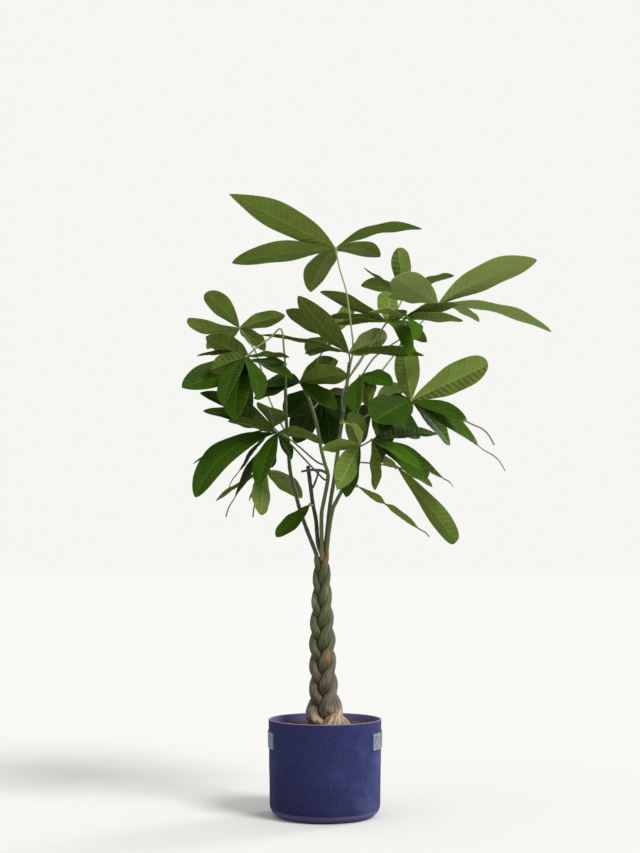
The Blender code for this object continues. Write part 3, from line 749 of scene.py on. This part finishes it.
SCARS = (((0.008, -0.030, 0.320), 0.014), ((0.020, -0.024, 0.303), 0.011), ((0.003, -0.014, 0.521), 0.016),
         ((-0.018, -0.010, 0.517), 0.011), ((0.006, -0.012, 0.494), 0.010))
scar = height * 0
for point, size in SCARS:
    spot = place.scaled(*SCAR_SHAPE).near(Vector(point) * SCAR_SHAPE, size * 0.4, size)
    scar = scar.bigger(spot)
fresh = (bright + fibres * 0.3 - 0.15).step(0.0, 1.0).mix((0.017, 0.020, 0.007), (0.074, 0.106, 0.025))
colour = young.mix(colour, fresh)
rubbed = patches.step(0.52, 0.64) * height.step(0.36, 0.46) * (1 - young)
colour = (rubbed * 0.45).mix(colour, (0.20, 0.17, 0.10))
scar = scar * patches.step(0.28, 0.48)
colour = (scar * 0.8).mix(colour, (0.160, 0.066, 0.026))
pores = place.cells(520).step(0.16, 0.08) * patches.step(0.48, 0.60)
colour = (pores * 0.45).mix(colour, (0.20, 0.18, 0.12))
relief = fibres * (0.4 + swollen * 0.5) + patches * 0.5
feed(shader, Base_Color=colour, Roughness=0.68 - young * 0.14, Normal=relief.bump(0.0016, 0.7),
     Specular_IOR_Level=0.35)
for name in STEMS:
    build_stem(name, bark)


# The leaves
# Each leaf has a thin green stalk that ends in a small knuckle, and a hand of leaflets round it. A leaflet
# is a thin folded sheet, quilted between its side veins, glossy deep green above and dull olive below, with
# a pale midrib that stands out underneath. Old leaflets end in long dry drip tips.
LEAF_THICK = 0.7
STALK_FOOT_RADIUS = 2.1
STALK_RADIUS = 1.55
STALK_CLEAR = 5.0
STALK_SIDES = 10
STALK_STEPS = 5
STALK_SUNK = 1.0
HUB_RADIUS = 3.3
BLADE_SWELL = 0.95
BLADE_ROOT_HALF = 1.6
BLADE_TIP_HALF = 0.8
WAIST_HALF = 0.07
WAIST_DEEP = 0.85
VEIN_SPACING = 12.5
VEINS_LEAST = 7
VEIN_SLANT = 0.75
WIDE_SLANT = 0.3
ROWS_PER_VEIN = 6
HALVINGS = 12
PLEAT = 0.75
RIB = 1.3
MARGIN_WAVE = 1.8
TAIL_HOOK = 0.12
TAIL_HALF = 2.1
SEEN_THROUGH = 0.28
BLADE_LAYERS = ("vein", "across", "along", "tone", "dry")
ACROSS = (-1.0, -0.88, -0.7, -0.5, -0.3, -0.12, -0.035, 0.035, 0.12, 0.3, 0.5, 0.7, 0.88, 1.0)


def blade(tip, width, turn, bow=0.05, taper=0.75, fold=0.22, bend=0.0, tail=0.0, waist=0.0, tone=None,
          dry=0.0):
    """A leaflet. turn is 0 where its upper side faces the viewer, 90 edge on and 180 from below.

    bow is how high it arches, bend how far it curves sideways, fold how far its halves lift, and taper how
    slender its end is. tail is the share of its length that is a thin drip tip, and waist how far
    along it is pinched. tone is 0 for the darkest green, 1 for the brightest and more for the palest: it
    holds the leaflet's own green together with painted shade, low where a leaflet stands in shadow, and
    painted light, above 1 where a lit underside is painted pale. dry is the share that is withered."""
    return dict(tip=tip, width=width, turn=turn, bow=bow, taper=taper, fold=fold, bend=bend, tail=tail,
                waist=waist, tone=tone, dry=dry)


# Each leaf: the shoot and height that its stalk grows from, the stalk's way up, its hub and leaflets. One
# that joins another leaf forks off it, and the two are one piece.
# A leaf's tone, and a leaflet's own where it has one, holds painted shade for leaflets in shadow and painted
# light for lit ones, besides their own green.
LEAVES = {
    "leaf_top": dict(tone=0.68, shoot="leader", height=893, hub=(21, 1134, -1), stalk=(
        (56, 935, 11), (52, 981, 11), (48, 1011, 8), (42, 1051, 5), (30, 1091, 2)), blades=(
        blade((-192, 1243, -65), 70, 143, 0.02, 1.0), blade((-186, 1105, 47), 60, 132, 0.04),
        blade((-28, 1047, 239), 62, 142, 0.06), blade((194, 1173, -33), 42, 119, 0.11),
        blade((110, 1117, 191), 52, 128))),
    "leaf_far_left": dict(tone=0.58, shoot="left", height=765, hub=(-171, 975, 68), stalk=(
        (-92, 790, 68), (-112, 835, 131), (-124, 880, 137), (-138, 925, 113), (-150, 945, 92)), blades=(
        blade((-236, 1047, 4), 46, 155, 0.04, 0.5), blade((-80, 1000, 52), 38, 150),
        blade((-121, 929, 148), 38, 140, 0.06), blade((-276, 987, 84), 38, 137, -0.10, 0.4),
        blade((-236, 933, 164), 40, 140))),
    "leaf_left_front": dict(tone=0.42, shoot="left", height=848, hub=(-158, 917, -96), stalk=(
        (-78, 880, -51), (-82, 930, -72), (-88, 973, -78), (-110, 955, -81), (-134, 938, -90)), blades=(
        blade((-286, 856, -176), 58, 30, -0.04), blade((-256, 919, -112), 34, 104, 0.07, tone=0.0),
        blade((-230, 891, -160), 40, 150, tone=0.2), blade((-204, 821, -224), 46, 50, 0.08),
        blade((-180, 791, -208), 62, 32, 0.08), blade((-134, 831, -208), 44, 48, 0.08, tone=0.45),
        blade((-71, 916, -80), 32, 110))),
    "leaf_left_back": dict(tone=0.35, joins="leaf_left_front", hub=(-150, 911, 9), stalk=(
        (-78, 880, -51), (-104, 892, -33), (-128, 904, -10)), blades=(
        blade((-238, 958, -39), 52, 142), blade((-76, 901, 57), 32, 108),
        blade((-66, 873, -135), 40, 62, 0.04), blade((-150, 795, -55), 48, 45, 0.08))),
    "leaf_low_left": dict(tone=0.2, shoot="middle", height=702, hub=(-96, 765, -75), stalk=(
        (-20, 710, -21), (-52, 738, -48), (-78, 758, -69)), blades=(
        blade((-260, 637, -171), 62, 40, 0.10, 0.6, bend=0.10, tone=0.35),
        blade((-194, 789, -91), 40, 120, 0.06), blade((-134, 657, -155), 44, 35, 0.06, tone=0.35),
        blade((-198, 597, -107), 36, 66, 0.04, tail=0.22, tone=0.1, dry=0.24),
        blade((0, 743, -139), 42, 118, 0.08), blade((-108, 696, -11), 30, 40),
        blade((-66, 713, -43), 32, 50))),
    "leaf_low_left_back": dict(tone=0.2, shoot="middle", height=672, hub=(-104, 776, 3), stalk=(
        (-14, 684, 12), (-44, 716, 21), (-78, 752, 15)), blades=(
        blade((-250, 845, -61), 42, 45, 0.07), blade((-244, 809, 3), 38, 50, 0.06),
        blade((-112, 817, -173), 62, 150, 0.04, 0.5), blade((-264, 703, -13), 22, 70),
        blade((-192, 655, 19), 22, 70, 0.03, tail=0.25, dry=0.3))),
    "leaf_under_left": dict(tone=0.5, shoot="left", height=668, hub=(-118, 691, 17), stalk=(
        (-78, 680, 5), (-96, 688, 14)), blades=(
        blade((-128, 601, -63), 42, 150), blade((-46, 635, 65), 42, 145, 0.06),
        blade((-218, 629, 49), 26, 110, 0.03, tone=0.3, dry=0.2), blade((-152, 629, 81), 20, 70, 0.03),
        blade((-144, 597, -15), 24, 60, 0.03, tail=0.40, tone=0.3, dry=0.42))),
    "leaflet_low": dict(tone=0.6, shoot="cut", height=621, hub=(-30, 622, -16), stalk=(), blades=(
        blade((-97, 557, -80), 34, 30, 0.0, 0.6),)),
    "leaf_middle": dict(tone=0.27, shoot="leader", height=902, hub=(48, 925, -39), stalk=(
        (50, 908, -21),), blades=(
        blade((-54, 1039, -142), 50, 148, -0.02), blade((124, 957, 98), 52, 150, 0.05, 0.5),
        blade((198, 920, -94), 40, 117, 0.04), blade((-130, 961, -30), 30, 104, 0.03),
        blade((-40, 923, 50), 30, 108, 0.06))),
    "leaf_middle_back": dict(tone=0.3, shoot="middle", height=846, hub=(10, 957, 109), stalk=(
        (-38, 862, 40), (-26, 889, 64), (0, 937, 97)), blades=(
        blade((-78, 1011, 77), 44, 142, 0.04), blade((-56, 985, 157), 40, 120),
        blade((-30, 919, 221), 56, 140, 0.06), blade((60, 1019, 189), 40, 142, 0.05, 0.5))),
    "leaf_right_small": dict(tone=0.4, shoot="leader", height=812, hub=(124, 987, 43), stalk=(
        (34, 830, -20), (38, 852, -32), (60, 896, -20), (98, 950, 25)), blades=(
        blade((-10, 1047, 85), 46, 122, 0.03), blade((2, 995, 117), 30, 117, 0.04),
        blade((16, 981, 53), 26, 115, 0.04), blade((130, 1047, 85), 50, 155, 0.03, 0.5),
        blade((164, 1009, 21), 26, 140), blade((172, 915, -155), 34, 40, 0.10, tone=1.0),
        blade((204, 947, 53), 40, 135, 0.08))),
    "leaf_right_near": dict(tone=0.55, shoot="leader", height=858, hub=(158, 993, -55), stalk=(
        (66, 868, -4), (96, 913, 2), (128, 938, 26), (160, 962, 20)), blades=(
        blade((276, 990, -161), 40, 117, 0.03, tone=0.75), blade((268, 1023, -145), 40, 120, 0.03),
        blade((90, 1007, -193), 24, 120, tone=1.0), blade((178, 951, -209), 34, 60, 0.10, tone=0.9))),
    "leaf_far_right": dict(tone=1.4, shoot="right", height=828, hub=(226, 1023, -9), stalk=(
        (84, 850, -15), (122, 900, -9), (170, 960, 0), (206, 1000, -3)), blades=(
        blade((424, 1111, -57), 76, 132, 0.06), blade((453, 967, 23), 58, 110, 0.075),
        blade((140, 1077, -89), 68, 145, 0.0, 0.5), blade((126, 1037, 7), 48, 118),
        blade((308, 987, 103), 34, 112, 0.06))),
    "leaf_top_right": dict(tone=0.45, shoot="leader", height=875, hub=(160, 1045, 177), stalk=(
        (66, 900, 72), (104, 960, 147), (144, 1012, 174)), blades=(
        blade((146, 1135, 209), 46, 155, 0.0, 0.5), blade((78, 1095, 161), 30, 98, -0.03),
        blade((72, 1059, 241), 44, 128, 0.08), blade((106, 1035, 161), 34, 120),
        blade((258, 1079, 225), 40, 112))),
    "leaf_right": dict(tone=0.45, shoot="right", height=780, hub=(172, 829, -88), stalk=(
        (84, 800, -34), (130, 816, -67)), blades=(
        blade((326, 903, -24), 66, 150, 0.02, 0.45, tone=0.42), blade((156, 953, 24), 54, 158, 0.0),
        blade((338, 741, -168), 50, 56, 0.06, 0.8, bend=-0.06, tail=0.37, tone=0.45, dry=0.4),
        blade((305, 745, -88), 44, 50, 0.06, 0.9, tone=0.75, dry=0.06),
        blade((360, 689, -40), 40, 62, 0.03, 0.9, bend=-0.03, tail=0.30, tone=0.75, dry=0.32),
        blade((250, 741, -8), 44, 50, 0.06, tone=1.0), blade((98, 789, -232), 74, 30, 0.05, 0.5, tone=0.3),
        blade((104, 829, 8), 30, 60, tone=0.35))),
    "leaf_right_low": dict(tone=0.5, shoot="right", height=722, hub=(94, 751, -92), stalk=(
        (60, 732, -32), (78, 742, -68)), blades=(
        blade((190, 695, -172), 40, 60, tone=1.0), blade((206, 677, -92), 56, 40, 0.08, 0.45, tone=0.6),
        blade((256, 657, -44), 36, 62, 0.06, tail=0.15, tone=0.5, dry=0.08),
        blade((110, 701, -12), 44, 40, tone=0.0), blade((100, 651, -124), 34, 130, 0.04),
        blade((226, 763, 20), 44, 60, tone=0.4))),
    "leaf_right_hanging": dict(tone=0.6, shoot="right", height=690, hub=(144, 697, 29), stalk=(
        (60, 705, 14), (96, 704, 23)), blades=(
        blade((262, 547, -35), 46, 148, 0.03, 0.35), blade((214, 657, 93), 30, 120, tone=0.9),
        blade((112, 707, 125), 30, 130))),
    "leaf_twisted": dict(tone=0.6, shoot="right", height=655, hub=(64, 659, 7), stalk=(), blades=(
        blade((208, 557, -15), 34, 118, 0.02, 0.9, tail=0.15, waist=0.38, dry=0.16),)),
    "leaf_centre_low": dict(tone=0.5, shoot="right", height=745, hub=(70, 741, -166), stalk=(
        (58, 745, -61), (64, 746, -121)), blades=(
        blade((24, 651, -214), 50, 150, 0.04, 1.0, tone=0.32), blade((42, 637, -134), 46, 38, 0.06),
        blade((-6, 733, -182), 30, 140, 0.06, tone=0.8), blade((30, 785, -230), 30, 110, 0.20, tone=1.3),
        blade((46, 805, -86), 50, 150, tone=0.35))),
    "leaf_centre": dict(tone=0.5, shoot="leader", height=850, hub=(70, 879, -110), stalk=(
        (56, 862, -41), (66, 874, -80)), blades=(
        blade((136, 861, -174), 40, 40, 0.08), blade((90, 823, -174), 44, 140, 0.06),
        blade((64, 803, -206), 40, 40, 0.08))),
    "leaf_centre_left": dict(tone=0.2, shoot="middle", height=842, hub=(-50, 866, -4), stalk=(
        (-46, 860, 5),), blades=(
        blade((43, 884, -107), 50, 146, tone=0.5), blade((22, 812, -62), 46, 44, tone=0.5),
        blade((26, 909, 21), 54, 142), blade((-26, 891, 85), 20, 110),
        blade((-126, 863, 85), 56, 62, 0.04), blade((-142, 835, 53), 52, 58))),
    "leaf_heart": dict(tone=0.15, shoot="middle", height=815, hub=(-6, 845, 96), stalk=(
        (-14, 826, 51),), blades=(
        blade((-78, 797, 32), 74, 40, 0.06), blade((-60, 745, 112), 72, 35, 0.06),
        blade((12, 735, 128), 68, 35, 0.06), blade((56, 785, 64), 66, 40, 0.06),
        blade((36, 824, 192), 60, 140, 0.06))),
    "leaf_heart_right": dict(tone=0.25, joins="leaf_heart", hub=(96, 823, 64), stalk=(
        (-6, 845, 96), (40, 840, 84)), blades=(
        blade((130, 741, 96), 66, 38, 0.06), blade((190, 755, 96), 58, 42, 0.06),
        blade((62, 753, 192), 64, 38, 0.06), blade((160, 851, 176), 50, 140, 0.06))),
}


def shoot_place(shoot, height):
    """The middle of a shoot at a seen height, its direction and its radius there."""
    start, end, way = SHOOTS[shoot][1], SHOOTS[shoot][2], SHOOTS[shoot][4]
    for k, (a, b) in enumerate(zip(way, way[1:])):
        if height <= b[1]:
            part = (height - a[1]) / (b[1] - a[1])
            place = Vector(a).lerp(Vector(b), part)
            along = (Vector(b) - Vector(a)).normalized()
            return place, along, start + (end - start) * (k + part) / (len(way) - 1)


def stalk_places(leaf):
    """The places along a leaf's stalk: square off its shoot, or from the leaf it joins, on to the hub."""
    way = [Vector(place) for place in (*leaf["stalk"], leaf["hub"])]
    if "joins" in leaf:
        return way
    middle, along, radius = shoot_place(leaf["shoot"], leaf["height"])
    out = way[0] - middle
    out = (out - along * out.dot(along)).normalized()
    root = middle + out * (radius - STALK_SUNK)
    clear = middle + out * (radius + STALK_CLEAR)
    return [root, clear, *way]


def stalk_radii(count):
    """A stalk's radius along its line, swollen at its foot and under the leaflets."""
    radii = []
    for k in range(count):
        along = k / (count - 1)
        swell = 0.55 * math.exp(-(along / 0.06) ** 2) + 0.45 * math.exp(-((1 - along) / 0.05) ** 2)
        radii.append(STALK_FOOT_RADIUS + (STALK_RADIUS - STALK_FOOT_RADIUS) * along + swell)
    return radii


def blade_half(spec, along):
    """Half a leaflet's width at a share of its length, with its tail and its waist."""
    peak = BLADE_SWELL / (BLADE_SWELL + spec["taper"])
    share = min(1.0, along / (1 - spec["tail"]))
    shape = (share / peak) ** BLADE_SWELL * ((1 - share) / (1 - peak)) ** spec["taper"]
    if spec["waist"]:
        shape *= 1 - WAIST_DEEP * math.exp(-((along - spec["waist"]) / WAIST_HALF) ** 2)
    least = BLADE_ROOT_HALF + ((TAIL_HALF if spec["tail"] else BLADE_TIP_HALF) - BLADE_ROOT_HALF) * along
    return max(spec["width"] / 2 * shape, least)


def along_vein(spec, size, start, reach):
    """How far along a leaflet a side vein is that leaves the midrib at start, where it is reach out."""
    slant = min(VEIN_SLANT / size, WIDE_SLANT / spec["width"])
    low, high = start, 1.0
    for _ in range(HALVINGS):
        middle = (low + high) / 2
        if middle - slant * reach * blade_half(spec, middle) < start:
            low = middle
        else:
            high = middle
    return high


def sheet_edge(rows):
    """The vertices along a sheet's edge, once round and back to the first."""
    return rows[0] + [row[-1] for row in rows[1:]] + rows[-1][-2::-1] + [row[0] for row in rows[-2::-1]]


def build_blade(bm, layers, hub, spec, tone, rng):
    """One leaflet: a folded, bowed sheet, quilted between its veins, with a rib under its middle."""
    tip = seen(*spec["tip"])
    run = tip - hub
    size = run.length
    ahead = run / size
    to_eye = EYE - (hub + tip) / 2
    to_eye = (to_eye - ahead * to_eye.dot(ahead)).normalized()
    upward = to_eye.cross(ahead)
    if upward.z < 0:
        upward = -upward
    turn = math.radians(spec["turn"])
    face = to_eye * math.cos(turn) + upward * math.sin(turn)
    side = ahead.cross(face)
    veins = max(VEINS_LEAST, round(size / VEIN_SPACING))
    rows = veins * ROWS_PER_VEIN
    waves = [(rng.uniform(1.3, 2.6), rng.uniform(0, 6.28)) for _ in range(2)]
    tops, unders = [], []
    for i in range(rows + 1):
        vein = i / ROWS_PER_VEIN
        pillow = 2 * abs(math.sin(math.pi * vein)) - 1
        top, under = [], []
        for across in ACROSS:
            reach = abs(across)
            along = along_vein(spec, size, i / rows, reach) if 0 < i < rows else i / rows
            half = blade_half(spec, along)
            wave = 4 * along * (1 - along)
            past = max(0.0, along - 1 + spec["tail"]) / max(spec["tail"], 0.01)
            hook = Vector((0, 0, TAIL_HOOK * spec["tail"] * size * math.sin(math.pi * past ** 1.7)))
            calm = min(1.0, half / 8)
            often, start = waves[across > 0]
            quilt = PLEAT * pillow * calm * min(1, reach * 4) * (1 - 0.85 * reach ** 4)
            margin = MARGIN_WAVE * calm * reach ** 3 * math.sin(2 * math.pi * often * along + start) * wave
            rise = wave * spec["bow"] * size + (reach - 0.5) * half * spec["fold"] + quilt + margin
            sway = across * half + wave * spec["bend"] * size
            point = hub + run * along + hook + side * sway + face * rise
            rib = RIB * (1 - 0.8 * along) * max(0.0, 1 - reach / 0.1)
            pair = []
            for shift in (LEAF_THICK / 2, -LEAF_THICK / 2 - rib):
                vert = bm.verts.new(point + face * shift)
                for layer, value in zip(layers, (vein, reach, along, tone, spec["dry"])):
                    vert[layer] = value
                pair.append(vert)
            top.append(pair[0])
            under.append(pair[1])
        tops.append(top)
        unders.append(under)
    skin(bm, tops, wrap=False)
    skin(bm, [row[::-1] for row in unders], wrap=False, material=1)
    upper, lower = sheet_edge(tops), sheet_edge(unders)
    for a, b, c, d in zip(upper, upper[1:], lower[1:], lower):
        bm.faces.new((b, a, d, c)).material_index = 1


def leaf_hand(bm, layers, leaf, rng):
    """A leaf's stalk, its knuckle and its leaflets."""
    hub = seen(*leaf["hub"])
    places = [seen(*place) for place in stalk_places(leaf)]
    line = smooth_way(places, STALK_STEPS)
    tube(bm, line, stalk_radii(len(line)), STALK_SIDES, {layers[3]: leaf["tone"]}, material=2)
    knuckle = bmesh.ops.create_icosphere(bm, subdivisions=2, radius=HUB_RADIUS)["verts"]
    bmesh.ops.translate(bm, vec=hub, verts=knuckle)
    for vert in knuckle:
        vert[layers[3]] = leaf["tone"]
        for face in vert.link_faces:
            face.material_index = 2
    for spec in leaf["blades"]:
        tone = leaf["tone"] if spec["tone"] is None else spec["tone"]
        build_blade(bm, layers, hub, spec, tone + rng.uniform(-0.05, 0.05), rng)


def build_leaf(name, leaf, mats, rng):
    """A palmate leaf, with any leaf that forks off it."""
    bm = bmesh.new()
    layers = [bm.verts.layers.float.new(layer) for layer in BLADE_LAYERS]
    leaf_hand(bm, layers, leaf, rng)
    for fork in LEAVES.values():
        if fork.get("joins") == name:
            leaf_hand(bm, layers, fork, rng)
    finished(name + "_blades", bm, mats, name, 60)


def leaf_finish(name, dark, fresh, vein_and_sheen_colour, withered, rough, shine, relief, veined):
    """A leaflet's skin: green by its tone with painted shade and light, paler veins, faint blotches and a
    dry tip.
    """
    mat, shader, place = new_finish(name)
    vein, across, along, tone, dry = (place.attribute(layer) for layer in BLADE_LAYERS)
    saw = vein.maths("FRACT", vein + 0.5) - 0.5
    side_vein = saw.maths("ABSOLUTE", saw).step(0.07, 0.015) * across.step(0.98, 0.75)
    midrib = across.step(0.055, 0.02) * along.step(1.0, 0.9)
    net = place.cells(420, "DISTANCE_TO_EDGE").step(0.10, 0.0)
    blotch = place.noise(38, 3)
    # Painted shade and light: a low tone darkens leaflets that stand in shadow, and a tone above 1 paints
    # lit ones pale as a painted sheen.
    colour = (tone + blotch * 0.5 - 0.25).step(-0.25, 1.25).mix(dark, fresh)
    colour = tone.step(1.0, 1.6).mix(colour, vein_and_sheen_colour)
    colour = (side_vein * veined + net * 0.06).mix(colour, vein_and_sheen_colour)
    colour = (midrib * (0.35 + veined)).mix(colour, vein_and_sheen_colour)
    dead = (along + dry + blotch * 0.12 - 0.06).step(0.97, 1.03) * dry.step(0.0, 0.02)
    colour = dead.mix(colour, withered)
    surface = side_vein * relief + net * (0.25 * relief) + blotch * 0.3
    feed(shader, Base_Color=colour, Roughness=rough + dead * 0.4, Normal=surface.bump(0.0006, 0.6),
         Specular_IOR_Level=shine)
    glow = mat.node_tree.nodes.new("ShaderNodeBsdfTranslucent")
    mat.node_tree.links.new(colour.socket, glow.inputs["Color"])
    both = mat.node_tree.nodes.new("ShaderNodeMixShader")
    both.inputs[0].default_value = SEEN_THROUGH
    out = mat.node_tree.nodes["Material Output"]
    for source, target in ((shader, both.inputs[1]), (glow, both.inputs[2]), (both, out.inputs["Surface"])):
        mat.node_tree.links.new(source.outputs[0], target)
    return mat


# The fresh colours are the brightest greens, for fresh leaflets and as painted light on lit ones.
upper = leaf_finish("leaf_upper", (0.0075, 0.0215, 0.0012), (0.041, 0.100, 0.0030), (0.105, 0.170, 0.020),
                    (0.15, 0.125, 0.09), 0.34, 0.04, -1.0, 0.14)
under = leaf_finish("leaf_under", (0.038, 0.062, 0.0070), (0.215, 0.315, 0.055), (0.30, 0.38, 0.12),
                    (0.17, 0.145, 0.11), 0.60, 0.04, 1.0, 0.30)
stalk, shader, place = new_finish("leaf_stalk")
# Painted shade and light: the stalk takes its leaf's tone, darker for leaves in shadow and paler for lit
# ones.
fresh = place.attribute("tone")
fresh = (fresh + place.noise(90, 2) * 0.5 - 0.25).step(-0.1, 1.1)
colour = fresh.mix((0.035, 0.048, 0.018), (0.19, 0.27, 0.085))
feed(shader, Base_Color=colour, Roughness=0.5, Normal=place.noise(500, 3).bump(0.0004, 0.5))
rng = random.Random(11)
for name, leaf in LEAVES.items():
    if "joins" not in leaf:
        build_leaf(name, leaf, [upper, under, stalk], rng)


# The studio
# A pale floor that runs on into an evenly pale room, broad soft daylight from the right, and a fill from
# the left. The floor's tone is worked out so that it looks like the room behind it. The camera looks level,
# and its picture is shifted upwards.
ROOM = (0.921, 0.922, 0.888)
ROOM_LIGHT = 1.0
ROOM_GREY = 0.92
FLOOR_TINT = (1.041, 1.033, 1.012)
FLOOR_HALF = 60.0
LENS = 59.09
PICTURE_ROWS = 853
ROWS_UP = 138
SUNS = (("key", 4.2, (0.58, -0.56, 0.75), 22), ("fill", 0.6, (-0.7, -0.6, 0.4), 60),
        ("edge", 2.0, (0.75, 0.60, 0.35), 20))
world = bpy.data.worlds.new("room")
bpy.context.scene.world = world
world.use_nodes = True
room = world.node_tree.nodes["Background"]
room.inputs["Color"].default_value = (*ROOM, 1)
room.inputs["Strength"].default_value = ROOM_LIGHT
floor_light = 1.0
for name, power, toward, spread in SUNS:
    lamp = bpy.data.lights.new(name, "SUN")
    lamp.energy = power
    lamp.angle = math.radians(spread)
    sun = bpy.data.objects.new(name, lamp)
    toward = Vector(toward).normalized()
    sun.rotation_euler = toward.to_track_quat("Z", "Y").to_euler()
    bpy.context.scene.collection.objects.link(sun)
    floor_light += power * toward.z / math.pi / ROOM_LIGHT / ROOM_GREY
floor_mesh = bpy.data.meshes.new("floor")
corners = [(x * FLOOR_HALF, y * FLOOR_HALF, 0) for x, y in ((-1, -1), (1, -1), (1, 1), (-1, 1))]
floor_mesh.from_pydata(corners, [], [(0, 1, 2, 3)])
floor = bpy.data.objects.new("floor", floor_mesh)
bpy.context.scene.collection.objects.link(floor)
plain, shader, place = new_finish("pale_floor")
feed(shader, Base_Color=(*(share / floor_light for share in FLOOR_TINT), 1), Roughness=1.0,
     Specular_IOR_Level=0.0)
floor_mesh.materials.append(plain)

camera = bpy.data.cameras.new("camera")
camera.lens = LENS
camera.sensor_width = 36.0
camera.shift_y = ROWS_UP / PICTURE_ROWS
camera.clip_end = 200
eye = bpy.data.objects.new("camera", camera)
eye.location = EYE * MM
eye.rotation_euler = (math.radians(90), 0, 0)
bpy.context.scene.collection.objects.link(eye)
bpy.context.scene.camera = eye
bpy.context.scene.view_settings.view_transform = "Standard"
